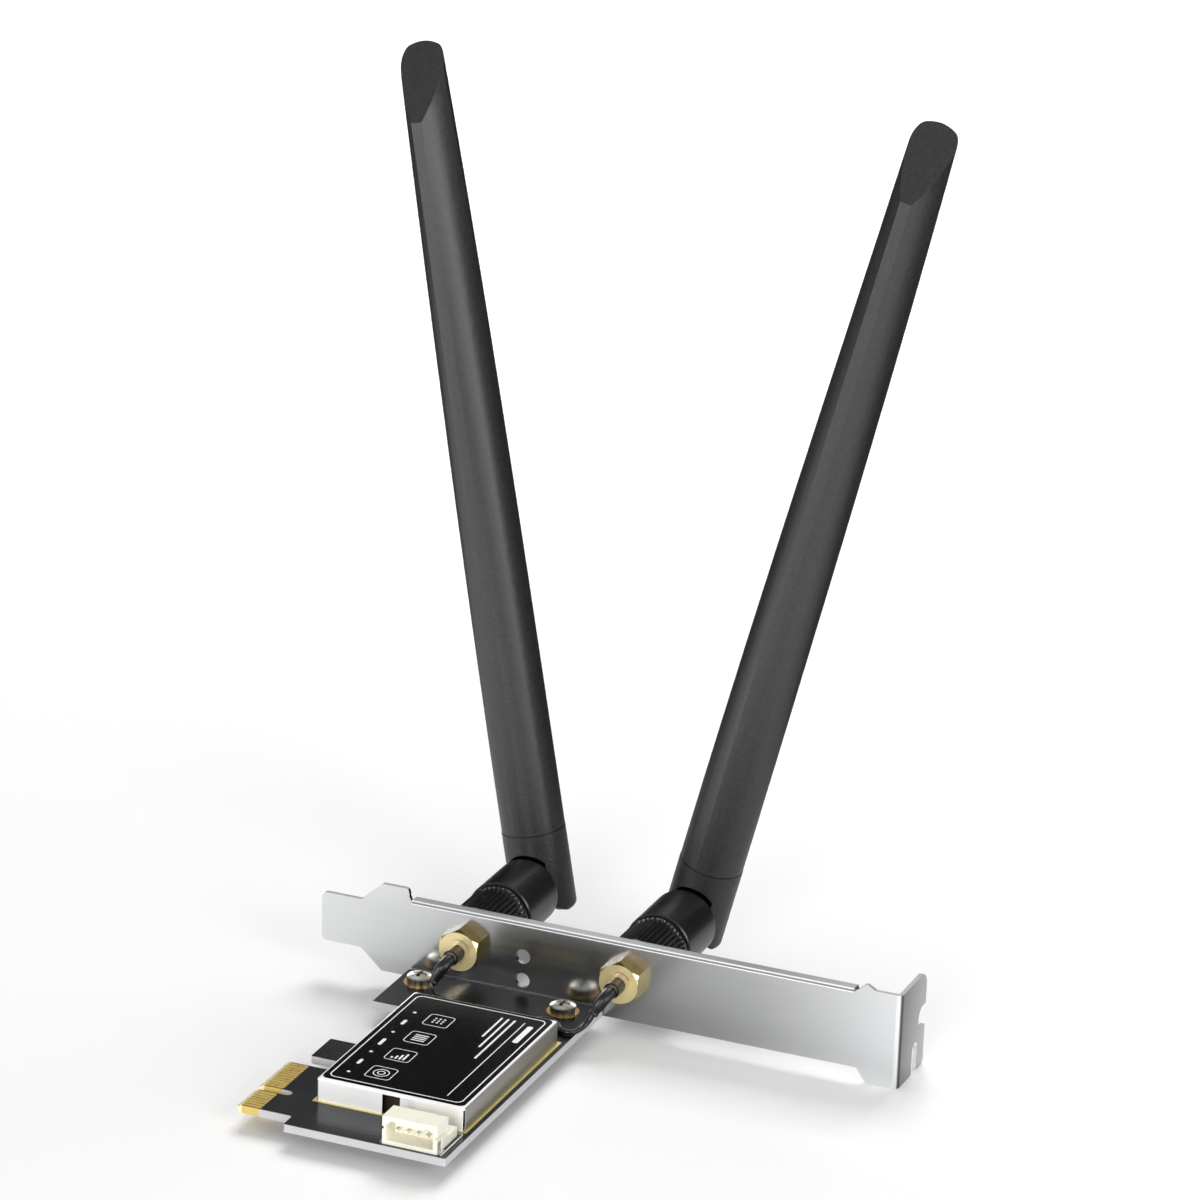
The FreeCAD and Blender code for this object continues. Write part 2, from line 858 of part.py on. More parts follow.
# Threaded jack with a hexagonal flange, and a crimp post behind it
def make_jack(x):
    corner = hex_across / math.sqrt(3)
    flange = hexagon(x, hex_back, hex_thickness)
    cone = Part.makeCone(hex_across / 2, corner + hex_chamfer, hex_chamfer * 2, V(x, hex_back, jack_z), V(0, 1, 0))
    rounding = fused([cone, rod_y(corner + hex_chamfer, x, hex_back + hex_chamfer * 2, bracket_y)])
    barrel = rod_y(jack_radius, x, bracket_y, jack_end)
    rim = [edge for edge in barrel.Edges if edge.BoundBox.YMin > jack_end - 0.01]
    barrel = barrel.makeChamfer(jack_end_chamfer, rim)
    boss = rod_y(boss_radius, x, boss_back, hex_back)
    post = rod_y(crimp_post_radius, x, post_back, boss_back)
    return cut_by(fused([flange.common(rounding), barrel, boss, post]), [
        rod_y(jack_bore_radius, x, jack_floor, jack_end + 1),
        rod_y(insulator_radius, x, hex_back + insulator_from_hex, jack_floor),
        rod_y(coax_radius + coax_bore_clearance, x, post_back - 1, hex_back + insulator_from_hex),
    ])


def make_jack_insulator(x):
    body = rod_y(insulator_radius, x, hex_back + insulator_from_hex, jack_floor)
    return body.cut(rod_y(jack_pin_radius, x, hex_back, jack_floor))


def make_jack_pin(x):
    point = bracket_y + jack_pin_reach - jack_pin_point
    pin = rod_y(jack_pin_radius, x, hex_back + insulator_from_hex, point)
    cone = Part.makeCone(jack_pin_radius, jack_pin_radius / 2, jack_pin_point, V(x, point, jack_z), V(0, 1, 0))
    return fused([pin, cone])


# Toothed washer and hexagonal nut on the outside of the bracket
def make_washer(x):
    end = outer_y + washer_thickness
    washer = rod_y(washer_radius, x, outer_y, end)
    cuts = [rod_y(jack_radius + running_gap, x, outer_y, end)]
    half = washer_notch_width / 2
    for i in range(washer_teeth):
        notch = box(-half, half, outer_y, end, washer_radius - washer_notch_depth, washer_radius + 1)
        notch.rotate(V(0, 0, 0), V(0, 1, 0), 360.0 * i / washer_teeth)
        notch.translate(V(x, 0, jack_z))
        cuts.append(notch)
    return cut_by(washer, cuts)


def make_jack_nut(x):
    start = outer_y + washer_thickness
    return hexagon(x, start, nut_thickness).cut(rod_y(jack_radius + running_gap, x, start, start + nut_thickness))


def make_ferrule(x):
    sleeve = rod_y(ferrule_radius, x, ferrule_back, boss_back)
    return sleeve.cut(rod_y(crimp_post_radius, x, ferrule_back, boss_back))


# Routes of the leads: the points of the bends, from the jack to the plug on the module
lead_z = board_top + strip_thickness + coax_lift + coax_radius
plug_z = module_top + receptacle_height + coax_plug_height - coax_plug_neck_height / 2
plug_face = receptacle_y + coax_plug_radius
left_plug_x, right_plug_x = receptacle_places
left_route = [
    V(left_jack_x, boss_back - coax_start_depth, jack_z),
    V(left_jack_x, ferrule_back - 2.0, jack_z),
    V(left_jack_x - 1.8, ferrule_back - 2.8, lead_z + 3.4),
    V(left_jack_x - 2.6, ferrule_back - 3.8, lead_z + 0.6),
    V(left_jack_x - 0.2, ferrule_back - 5.2, lead_z),
    V(left_jack_x + 2.8, ferrule_back - 5.7, lead_z),
    V(left_jack_x + 5.6, ferrule_back - 7.4, lead_z),
    V(left_plug_x, can_back + 2.0, lead_z),
    V(left_plug_x, can_back - 1.3, lead_z + 0.1),
    V(left_plug_x, can_back - 4.2, plug_z),
    V(left_plug_x, plug_face, plug_z),
]
right_route = [
    V(right_jack_x, boss_back - coax_start_depth, jack_z),
    V(right_jack_x, ferrule_back - 2.1, jack_z),
    V(right_jack_x - 1.9, ferrule_back - 2.9, lead_z + 3.2),
    V(right_jack_x - 3.1, ferrule_back - 4.1, lead_z + 0.7),
    V(right_jack_x - 3.8, ferrule_back - 5.6, lead_z),
    V(right_jack_x - 4.4, ferrule_back - 7.9, lead_z),
    V(right_jack_x - 6.9, ferrule_back - 8.4, lead_z),
    V(right_jack_x - 8.6, ferrule_back - 5.4, lead_z),
    V(right_jack_x - 11.6, ferrule_back - 4.1, lead_z),
    V(right_plug_x - 0.1, ferrule_back - 6.3, lead_z),
    V(right_plug_x, can_back + 2.2, lead_z),
    V(right_plug_x, can_back - 1.3, lead_z + 0.1),
    V(right_plug_x, can_back - 4.2, plug_z),
    V(right_plug_x, plug_face, plug_z),
]


# Straight runs joined by arcs; each arc takes 0.45 of the shorter run beside it
def route_edges(points):
    edges = []
    radii = []
    last = points[0]
    for i in range(1, len(points) - 1):
        before = points[i] - points[i - 1]
        after = points[i + 1] - points[i]
        half_turn = before.getAngle(after) / 2
        reach = 0.45 * min(before.Length, after.Length)
        radius = reach / math.tan(half_turn)
        start = points[i] - before.normalize() * reach
        end = points[i] + after.normalize() * reach
        inward = (start + end - points[i] * 2).normalize()
        middle = points[i] + inward * (radius / math.cos(half_turn) - radius)
        edges.append(Part.LineSegment(last, start).toShape())
        edges.append(Part.Arc(start, middle, end).toShape())
        radii.append(round(radius, 1))
        last = end
    edges.append(Part.LineSegment(last, points[-1]).toShape())
    return edges, radii


def piped(path, radius):
    start = path[0].valueAt(path[0].FirstParameter)
    along = path[0].tangentAt(path[0].FirstParameter)
    ring = Part.Wire(Part.Circle(start, along, radius).toShape())
    return Part.Wire(path).makePipeShell([ring], True, False)


def make_coax(route):
    path, radii = route_edges(route)
    length = Part.Wire(path).Length
    lead = piped(path, coax_radius)
    print("lead length", round(length, 2), "bend radii", radii)
    print("lead volume", round(lead.Volume, 3), "section by length", round(math.pi * coax_radius ** 2 * length, 3))
    return lead


# Heat-shrink sleeve over the first bend of a lead, from the end of the ferrule
def make_sleeve(route):
    path = route_edges(route)[0]
    bend_start = path[0].valueAt(path[0].LastParameter)
    ferrule_end = V(route[0].x, ferrule_back, jack_z)
    covered = [Part.LineSegment(ferrule_end, bend_start).toShape()] + path[1:3]
    return piped(covered, sleeve_radius).cut(piped(path[:5], coax_radius + coax_bore_clearance))


# Coupling nut: a ribbed shell over a threaded insert that carries it on the jack
coupling_front = bracket_y + coupling_start
coupling_back = bracket_y + coupling_end
insert_front = coupling_front + coupling_insert_recess
insert_back = insert_front + coupling_insert_length


def make_coupling_shell(x):
    root = coupling_radius - rib_depth
    points = []
    for i in range(rib_count):
        for share, radius in ((0.0, coupling_radius), (0.45, coupling_radius), (0.6, root), (0.85, root)):
            angle = math.radians((i + share) * 360.0 / rib_count)
            points.append(V(x + radius * math.sin(angle), coupling_front, jack_z + radius * math.cos(angle)))
    ribs = prism(points, V(0, coupling_back - coupling_front, 0))
    collar = rod_y(coupling_radius, x, coupling_back - coupling_collar, coupling_back)
    band = rod_y(coupling_radius - coupling_front_step, x, coupling_front, coupling_front + coupling_front_band)
    return cut_by(fused([ribs, collar, band]), [
        rod_y(coupling_insert_radius, x, coupling_front, insert_back),
        rod_y(bearing_radius, x, insert_back, coupling_back),
    ])


def make_coupling_insert(x):
    return cut_by(rod_y(coupling_insert_radius, x, insert_front, insert_back), [
        rod_y(jack_radius + running_gap, x, insert_front, insert_back - coupling_lip),
        rod_y(bearing_radius, x, insert_back - coupling_lip, insert_back),
    ])


# Plug inside the coupling nut, fixed in the swivel
plug_front = jack_floor + plug_end_gap
plug_back = swivel_front + plug_socket_depth


def make_plug_body(x):
    shoulder = jack_end + plug_shoulder_gap
    body = fused([
        rod_y(plug_radius, x, plug_front, plug_back),
        rod_y(plug_shoulder_radius, x, shoulder, shoulder + plug_shoulder_length),
    ])
    return body.cut(rod_y(plug_radius - plug_wall, x, plug_front, plug_back))


def make_plug_insulator(x):
    start = plug_front + plug_inset
    return rod_y(plug_radius - plug_wall, x, start, plug_back).cut(rod_y(plug_contact_radius, x, start, plug_back))


def make_plug_contact(x):
    body = rod_y(plug_contact_radius, x, plug_front + plug_inset, plug_back + plug_contact_overlap)
    tip_room = bracket_y + jack_pin_reach + running_gap
    return body.cut(rod_y(jack_pin_radius + running_gap, x, plug_front, tip_room))


# Swivel: a barrel whose knuckle sits in the slot of the antenna base
def make_swivel(x, tilt):
    barrel = rod_y(swivel_radius, x, swivel_front, shoulder_y)
    back_rim = [edge for edge in barrel.Edges if edge.BoundBox.YMin > shoulder_y - 0.01]
    barrel = barrel.makeFillet(swivel_edge, back_rim)
    front_rim = [edge for edge in barrel.Edges if edge.BoundBox.YMax < swivel_front + 0.01]
    barrel = barrel.makeChamfer(swivel_front_chamfer, front_rim)
    left = x - knuckle_half_width
    right = x + knuckle_half_width
    arm = box(left, right, shoulder_y, hinge_y, jack_z - knuckle_radius, jack_z + knuckle_radius)
    eye = rod(knuckle_radius, V(left, hinge_y, jack_z), V(right, hinge_y, jack_z))
    swivel = cut_by(fused([barrel, arm, eye]), [
        rod(hinge_pin_radius + running_gap, V(left, hinge_y, jack_z), V(right, hinge_y, jack_z)),
        rod_y(plug_radius, x, swivel_front, plug_back),
        rod_y(feed_bore_radius, x, plug_back, hinge_y - hinge_pin_radius - feed_bore_wall),
    ])
    swivel.rotate(V(x, hinge_y, jack_z), V(0, 1, 0), tilt)
    return swivel


# Antenna pieces are drawn upright about the hinge, then tilted with it
def placed(shape, x, tilt):
    shape.translate(V(x, hinge_y, jack_z))
    shape.rotate(V(x, hinge_y, jack_z), V(0, 1, 0), tilt)
    return shape


def make_hinge_pin():
    half = hinge_pin_length / 2
    return rod(hinge_pin_radius, V(-half, 0, 0), V(half, 0, 0))


# Turned base with a fork for the knuckle and a spigot for the sheath
def make_base():
    low = -fork_reach
    spigot_top = base_top + spigot_length
    profile = [
        V(0, 0, low),
        V(base_radius, 0, low),
        V(base_radius, 0, base_top),
        V(spigot_radius, 0, base_top),
        V(spigot_radius, 0, spigot_top),
        V(0, 0, spigot_top),
    ]
    body = Part.Face(rounded_wire(profile, [0, base_corner, 0, 0, 0, 0])).revolve(V(0, 0, 0), V(0, 0, 1), 360)
    side = knuckle_half_width + knuckle_side_gap
    back = knuckle_radius + knuckle_end_gap
    front = -base_radius - 1
    arch = [
        Part.LineSegment(V(-side, front, low - 1), V(side, front, low - 1)),
        Part.LineSegment(V(side, front, low - 1), V(side, front, slot_side_height)),
        Part.Arc(V(side, front, slot_side_height), V(0, front, slot_arch_height), V(-side, front, slot_side_height)),
        Part.LineSegment(V(-side, front, slot_side_height), V(-side, front, low - 1)),
    ]
    portal = Part.Face(Part.Wire([edge.toShape() for edge in arch])).extrude(V(0, -front, 0))
    lower_front = box(front, -front, front, 0, low - 1, 0)
    return cut_by(body, [
        portal,
        box(-side, side, 0, back, low - 1, 0),
        rod(back, V(-side, 0, 0), V(side, 0, 0)),
        lower_front.cut(rod(fork_reach, V(front, 0, 0), V(-front, 0, 0))),
        make_hinge_pin(),
        rod(feed_bore_radius, V(0, 0, 0), V(0, 0, spigot_top)),
    ])


# Section of the sheath: round where facets is 0, a narrow ridge with two flanks where it is 1
def sheath_section(facets, scale, z):
    ring_angles = (10.5, 55, 110, 130, 150, 180)
    ring = [(sheath_radius * math.sin(math.radians(a)), -sheath_radius * math.cos(math.radians(a))) for a in ring_angles]
    roof = [
        (ridge_half_width, -ridge_front),
        ((ridge_half_width + flank_half_width) / 2 + flank_bulge, (flank_back - ridge_front) / 2 - flank_bulge),
        (flank_half_width, flank_back),
        ((flank_half_width + back_half_width) / 2 + back_bulge, (flank_back + back_depth) / 2 + back_bulge),
        (back_half_width, back_depth - back_bulge),
        (0, back_depth),
    ]
    right = []
    for (ring_x, ring_y), (roof_x, roof_y) in zip(ring, roof):
        x = ring_x + (roof_x - ring_x) * facets
        y = ring_y + (roof_y - ring_y) * facets
        right.append(V(x * scale, y * scale, z))
    left = [V(-point.x, point.y, z) for point in right]
    nose = V(0, -(sheath_radius + (ridge_front - sheath_radius) * facets) * scale, z)
    arcs = [
        (left[2], left[1], left[0]),
        (left[0], nose, right[0]),
        (right[0], right[1], right[2]),
        (right[2], right[3], right[4]),
        (right[4], right[5], left[4]),
        (left[4], left[3], left[2]),
    ]
    edges = []
    for start, middle, end in arcs:
        bow = (middle - (start + end) / 2).Length
        if bow > 0.001:
            edges.append(Part.Arc(start, middle, end).toShape())
        else:
            edges.append(Part.LineSegment(start, end).toShape())
    return Part.Wire(edges)


# Hollow sheath: lofted, cut on a slant at the tip and bored for the spigot and the element
def make_sheath():
    low = base_top + seam_gap
    height = sheath_top - low
    sections = []
    for i in range(sheath_sections):
        along = i / (sheath_sections - 1)
        facets = 0.02 + 0.98 * along ** sheath_facet_power
        scale = 1 - (1 - sheath_tip_scale) * along ** sheath_taper_power
        sections.append(sheath_section(facets, scale, low + height * along))
    body = Part.makeLoft(sections, True, False)
    tip_front = -ridge_front * sheath_tip_scale
    tip_back = back_depth * sheath_tip_scale
    slope = sheath_tip_cut / (tip_back - tip_front)
    margin = sheath_radius
    wide = 2 * sheath_radius
    slant = [
        V(-wide, tip_front - margin, sheath_top - sheath_tip_cut - slope * margin),
        V(-wide, tip_back + margin, sheath_top + slope * margin),
        V(-wide, tip_front - margin, sheath_top + slope * margin),
    ]
    step = base_top + spigot_length + seam_gap
    fit = spigot_radius + spigot_gap
    cavity = [
        V(0, 0, low),
        V(fit, 0, low),
        V(fit, 0, step),
        V(cavity_low_radius, 0, step + cavity_shoulder),
        V(cavity_high_radius, 0, cavity_top),
        V(0, 0, cavity_top),
    ]
    hollow = Part.Face(Part.makePolygon(cavity + [cavity[0]])).revolve(V(0, 0, 0), V(0, 0, 1), 360)
    return cut_by(body, [prism(slant, V(2 * wide, 0, 0)), hollow])


# Feed lead and the dipole that it ends in
def make_lead():
    return rod(lead_radius, V(0, 0, slot_arch_height), V(0, 0, lead_end))


def make_element():
    tube = rod(element_tube_radius, V(0, 0, element_tube_start), V(0, 0, element_tube_end))
    radiator = rod(element_rod_radius, V(0, 0, element_tube_end), V(0, 0, element_end))
    return fused([tube, radiator]).cut(rod(lead_radius, V(0, 0, element_tube_start), V(0, 0, lead_end)))


save("circuit_board", make_board())
save("edge_contacts_top", make_contacts(board_top))
save("edge_contacts_bottom", make_contacts(board_under - contact_thickness))
save("bracket", make_bracket())
save("bracket_screws", make_bracket_screws())
save("screw_pads", make_screw_pads())
save("shield_can", make_can())
save("can_label", make_label())
save("ground_strip", make_ground_strip())
save("module_socket", make_socket())
save("socket_contacts", make_socket_contacts())
save("radio_module_board", make_module_board())
save("radio_module_shield", make_module_shield())
save("module_standoff", make_standoff())
save("module_screw", make_module_screw())
save("antenna_receptacles", make_receptacles())
save("board_capacitors", make_capacitors())
header_pins = make_header_pins()
save("usb_header_housing", cut_by(make_header(), header_pins))
save("usb_header_pins", Part.Compound(header_pins))
save("usb_header_lugs", make_header_lugs())
for side, x, tilt, route, plug_x in (
    ("left", left_jack_x, left_tilt, left_route, left_plug_x),
    ("right", right_jack_x, right_tilt, right_route, right_plug_x),
):
    save(side + "_jack_body", make_jack(x))
    save(side + "_jack_insulator", make_jack_insulator(x))
    save(side + "_jack_pin", make_jack_pin(x))
    save(side + "_lock_washer", make_washer(x))
    save(side + "_jack_nut", make_jack_nut(x))
    save(side + "_crimp_ferrule", make_ferrule(x))
    save(side + "_cable_sleeve", make_sleeve(route))
    save(side + "_coax_lead", make_coax(route))
    save(side + "_coax_plug", make_coax_plug(plug_x))
    save(side + "_coupling_shell", make_coupling_shell(x))
    save(side + "_coupling_insert", make_coupling_insert(x))
    save(side + "_plug_body", make_plug_body(x))
    save(side + "_plug_insulator", make_plug_insulator(x))
    save(side + "_plug_contact", make_plug_contact(x))
    save(side + "_swivel", make_swivel(x, tilt))
    save(side + "_hinge_pin", placed(make_hinge_pin(), x, tilt))
    save(side + "_antenna_base", placed(make_base(), x, tilt))
    save(side + "_antenna_sheath", placed(make_sheath(), x, tilt))
    save(side + "_antenna_lead", placed(make_lead(), x, tilt))
    save(side + "_antenna_element", placed(make_element(), x, tilt))
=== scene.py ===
import bpy
import bmesh
import math
import numpy as np
from mathutils import Matrix, Vector


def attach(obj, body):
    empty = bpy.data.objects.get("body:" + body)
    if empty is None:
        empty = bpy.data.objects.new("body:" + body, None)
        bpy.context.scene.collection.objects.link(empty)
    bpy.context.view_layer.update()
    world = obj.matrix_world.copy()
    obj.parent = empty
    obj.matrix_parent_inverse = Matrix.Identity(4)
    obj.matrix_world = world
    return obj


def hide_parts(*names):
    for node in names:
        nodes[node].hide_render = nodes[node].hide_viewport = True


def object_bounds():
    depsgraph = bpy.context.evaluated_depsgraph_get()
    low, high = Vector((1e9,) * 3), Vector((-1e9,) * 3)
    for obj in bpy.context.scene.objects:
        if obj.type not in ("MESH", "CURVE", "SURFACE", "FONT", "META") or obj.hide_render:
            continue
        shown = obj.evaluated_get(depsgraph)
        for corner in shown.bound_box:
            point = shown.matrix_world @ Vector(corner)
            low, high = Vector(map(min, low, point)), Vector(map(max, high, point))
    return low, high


# Wireless network card with two folding aerials: dressed for the render, in metres.
# X runs along the bracket, Y out through it, Z up from the component side of the board.

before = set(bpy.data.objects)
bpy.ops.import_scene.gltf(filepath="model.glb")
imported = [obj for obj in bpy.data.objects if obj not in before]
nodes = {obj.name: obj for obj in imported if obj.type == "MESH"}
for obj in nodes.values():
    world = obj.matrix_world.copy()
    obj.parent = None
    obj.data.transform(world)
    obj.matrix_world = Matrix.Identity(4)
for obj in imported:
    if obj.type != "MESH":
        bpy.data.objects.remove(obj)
cadBox = [[float(v) for v in corner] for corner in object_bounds()]
mm = 0.001
sides = ("left", "right")
print("frame loaded:", len(nodes), "nodes")


def srgb(code):
    # six hex digits of a screen colour, turned into linear light
    parts = [int(code[i:i + 2], 16) / 255 for i in (0, 2, 4)]
    return tuple(p / 12.92 if p <= 0.04045 else ((p + 0.055) / 1.055) ** 2.4 for p in parts) + (1.0,)


# the middle of a noise, where most of its values lie
noiseLow = 0.3
noiseHigh = 0.7


class Finish:
    # one procedural material: a shader, with a few short ways to wire nodes into it
    def __init__(self, name, colour, roughness, metallic=0.0, **sockets):
        self.mat = bpy.data.materials.new(name)
        self.mat.use_nodes = True
        self.tree = self.mat.node_tree
        self.shader = self.tree.nodes["Principled BSDF"]
        self.coordinates = self.add("ShaderNodeTexCoord")
        self.where = self.coordinates.outputs["Object"]
        self.set("Base Color", srgb(colour))
        self.set("Roughness", roughness)
        self.set("Metallic", metallic)
        for key, value in sockets.items():
            self.set(key.replace("_", " "), value)

    def add(self, kind, **values):
        node = self.tree.nodes.new(kind)
        for key, value in values.items():
            setattr(node, key, value)
        return node

    def set(self, socket, value):
        self.shader.inputs[socket].default_value = value

    def link(self, output, socket):
        self.tree.links.new(output, socket)

    def drive(self, socket, output):
        self.link(output, self.shader.inputs[socket])

    def pattern(self, kind, vector=None, **inputs):
        # a node that reads the place on the object, or another vector, with its inputs by name
        node = self.add(kind)
        for key, value in inputs.items():
            node.inputs[key.replace("_", " ")].default_value = value
        self.link(vector or self.where, node.inputs["Vector"])
        return node

    def stretch(self, scale):
        return self.pattern("ShaderNodeMapping", Scale=scale).outputs["Vector"]

    def noise(self, scale, detail, vector=None, rough=0.5):
        node = self.pattern("ShaderNodeTexNoise", vector, Scale=scale, Detail=detail, Roughness=rough)
        return node.outputs["Fac"]

    def cells(self, scale):
        return self.pattern("ShaderNodeTexVoronoi", Scale=scale).outputs["Distance"]

    def axis(self, name, kind="Object"):
        # one coordinate of the place, or of the normal
        node = self.add("ShaderNodeSeparateXYZ")
        self.link(self.coordinates.outputs[kind], node.inputs[0])
        return node.outputs[name]

    def span(self, value, low, high, toLow=0.0, toHigh=1.0):
        # a value that goes from toLow to toHigh while the given one goes from low to high
        node = self.add("ShaderNodeMapRange")
        for key, number in (("From Min", low), ("From Max", high), ("To Min", toLow), ("To Max", toHigh)):
            node.inputs[key].default_value = number
        self.link(value, node.inputs["Value"])
        return node.outputs["Result"]

    def combine(self, kind, *terms):
        # a math node on numbers and sockets
        node = self.add("ShaderNodeMath", operation=kind)
        for socket, value in zip(node.inputs, terms):
            if isinstance(value, (int, float)):
                socket.default_value = value
            else:
                self.link(value, socket)
        return node.outputs[0]

    def plus(self, a, b):
        return self.combine("ADD", a, b)

    def minus(self, a, b):
        return self.combine("SUBTRACT", a, b)

    def times(self, a, b):
        return self.combine("MULTIPLY", a, b)

    def larger(self, a, b):
        return self.combine("MAXIMUM", a, b)

    def above(self, value, level):
        return self.combine("GREATER_THAN", value, level)

    def below(self, value, level):
        return self.combine("LESS_THAN", value, level)

    def blendColours(self, factor, first, second):
        # colours are hex codes or sockets; the colour sockets of a mix node go by number
        node = self.add("ShaderNodeMix", data_type="RGBA")
        self.link(factor, node.inputs["Factor"])
        for socket, colour in ((node.inputs[6], first), (node.inputs[7], second)):
            if isinstance(colour, str):
                socket.default_value = srgb(colour)
            else:
                self.link(colour, socket)
        return node.outputs[2]

    def paint(self, colour):
        self.drive("Base Color", colour)

    def sheen(self, noise, low, high):
        self.drive("Roughness", self.span(noise, noiseLow, noiseHigh, low, high))

    def relief(self, height, depth, strength):
        node = self.add("ShaderNodeBump")
        node.inputs["Strength"].default_value = strength
        node.inputs["Distance"].default_value = depth
        self.link(height, node.inputs["Height"])
        self.drive("Normal", node.outputs["Normal"])


def plainFinish(name, colour, roughness, metallic, mottle, sheen=None, grit=None, **sockets):
    # a finish of up to three noises, each given by its scale and detail and then two values:
    # mottle blends two colours, sheen two roughnesses, and grit has a depth and a strength
    finish = Finish(name, colour, roughness, metallic, **sockets)
    scale, detail, first, second = mottle
    finish.paint(finish.blendColours(finish.noise(scale, detail), first, second))
    if sheen:
        scale, detail, low, high = sheen
        finish.sheen(finish.noise(scale, detail), low, high)
    if grit:
        scale, detail, depth, strength = grit
        finish.relief(finish.noise(scale, detail), depth, strength)
    return finish.mat


def dress(material, *names):
    # a CAD node keeps its mesh and takes the material in every slot
    for name in names:
        mesh = nodes[name].data
        if not mesh.materials:
            mesh.materials.append(material)
        for i in range(len(mesh.materials)):
            mesh.materials[i] = material


def dressSides(material, *names):
    dress(material, *[side + "_" + name for side in sides for name in names])


def show(name, data):
    piece = bpy.data.objects.new(name, data)
    bpy.context.collection.objects.link(piece)
    return piece


# points nearer to each other than the first are merged, and edges shorter than the second go, in metres
mergeDistance = 2e-7
leastEdge = 1e-8


def build(name, verts, faces, material, body, crease):
    # points in millimetres become one object at the origin; doubles merge and faces turn outwards
    mesh = bpy.data.meshes.new(name)
    mesh.from_pydata((np.asarray(verts) * mm).tolist(), [], faces)
    shaped = bmesh.new()
    shaped.from_mesh(mesh)
    bmesh.ops.remove_doubles(shaped, verts=shaped.verts, dist=mergeDistance)
    bmesh.ops.dissolve_degenerate(shaped, edges=shaped.edges, dist=leastEdge)
    bmesh.ops.recalc_face_normals(shaped, faces=shaped.faces)
    shaped.to_mesh(mesh)
    shaped.free()
    mesh.polygons.foreach_set("use_smooth", [True] * len(mesh.polygons))
    mesh.set_sharp_from_angle(angle=math.radians(crease))
    mesh.materials.append(material)
    piece = show(name, mesh)
    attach(piece, body)
    return piece


def gridFaces(rows, cols, wrapRows, wrapCols, start=0):
    # quads between neighbours of a grid of points; a wrapped side joins its last row to its first
    index = np.arange(rows * cols).reshape(rows, cols) + start
    down = np.roll(index, -1, axis=0)
    side = np.roll(index, -1, axis=1)
    both = np.roll(down, -1, axis=1)
    quads = np.stack([index, side, both, down], axis=-1)
    quads = quads[:rows if wrapRows else rows - 1, :cols if wrapCols else cols - 1]
    return quads.reshape(-1, 4).tolist()


def joinGrids(grids, wrapRows=False):
    # several grids of closed rows as one list of points and faces
    verts, faces, start = [], [], 0
    for grid in grids:
        rows, cols = grid.shape[:2]
        verts.append(grid.reshape(-1, 3))
        faces += gridFaces(rows, cols, wrapRows, True, start)
        start += rows * cols
    return np.concatenate(verts), faces


def roundedRect(cx, cy, w, h, r, steps):
    # outline in the board's plane: r times (cos, sin) round each corner's centre, a quarter turn each
    quarter = np.arange(4)[:, None]
    angle = (quarter + np.linspace(0, 1, steps + 1)[None, :]) * np.pi / 2
    diagonal = (quarter + 0.5) * np.pi / 2
    x = cx + np.sign(np.cos(diagonal)) * (w / 2 - r) + r * np.cos(angle)
    y = cy + np.sign(np.sin(diagonal)) * (h / 2 - r) + r * np.sin(angle)
    return np.stack([x.ravel(), y.ravel()], axis=1)


def ringOutline(cx, cy, r, count):
    angle = np.arange(count) * 2 * np.pi / count
    return np.stack([cx + r * np.cos(angle), cy + r * np.sin(angle)], axis=1)


def raiseRows(rows):
    # flat outlines, each with its height, as the rows of a grid
    return np.stack([np.column_stack([outline, np.full(len(outline), z)]) for outline, z in rows])


def unitRows(vectors):
    # the small number keeps a vector of no length from a division by zero
    return vectors / (np.linalg.norm(vectors, axis=1)[:, None] + 1e-9)


def strokeGrid(outline, width, low, high):
    # a closed line in the board's plane, widened by half its width to each side and given a thin section
    arriving = unitRows(outline - np.roll(outline, 1, axis=0))
    leaving = unitRows(np.roll(outline, -1, axis=0) - outline)
    along = unitRows(arriving + leaving)
    across = np.stack([-along[:, 1], along[:, 0]], axis=1)
    # at a corner the line reaches further out, up to twice its half width
    reach = width / 2 / np.clip(np.sum(arriving * along, axis=1), 0.5, 1)[:, None]
    outer = outline - across * reach
    inner = outline + across * reach
    return raiseRows([(outer, low), (outer, high), (inner, high), (inner, low)])


def padGrid(outline, low, high):
    # a filled shape: centre, foot, rim and centre again, as four rows that close at two poles
    centre = np.repeat(outline.mean(axis=0)[None], len(outline), axis=0)
    return raiseRows([(centre, low), (outline, low), (outline, high), (centre, high)])


# order three: soft bends that stay close to a route's points
splineOrder = 3


def addRoute(data, points):
    # one spline through the first and the last point, drawn towards the others
    spline = data.splines.new("NURBS")
    spline.points.add(len(points) - 1)
    for point, place in zip(spline.points, points):
        point.co = (*place, 1)
    spline.order_u = splineOrder
    spline.use_endpoint_u = True


def curvePoints(points, samples):
    # the smooth line of a route, read back from its spline
    data = bpy.data.curves.new("route", "CURVE")
    data.dimensions = "3D"
    data.resolution_u = samples
    addRoute(data, points)
    probe = bpy.data.objects.new("route", data)
    mesh = bpy.data.meshes.new_from_object(probe)
    line = np.zeros(len(mesh.vertices) * 3)
    mesh.vertices.foreach_get("co", line)
    bpy.data.objects.remove(probe)
    bpy.data.meshes.remove(mesh)
    return line.reshape(-1, 3)


def tubeGrid(line, radii, count):
    # rings round a line: each ring's frame is the last one turned by the least angle
    tangents = np.gradient(line, axis=0)
    tangents /= np.linalg.norm(tangents, axis=1)[:, None]
    # any direction off the line's own starts the first ring
    side = np.cross(tangents[0], [0.3, 0.1, 1.0])
    rings = []
    angle = np.arange(count) * 2 * np.pi / count
    for point, tangent, radius in zip(line, tangents, radii):
        side = side - tangent * (side @ tangent)
        side /= np.linalg.norm(side)
        other = np.cross(tangent, side)
        rings.append(point + radius * (np.cos(angle)[:, None] * side + np.sin(angle)[:, None] * other))
    return np.stack(rings)


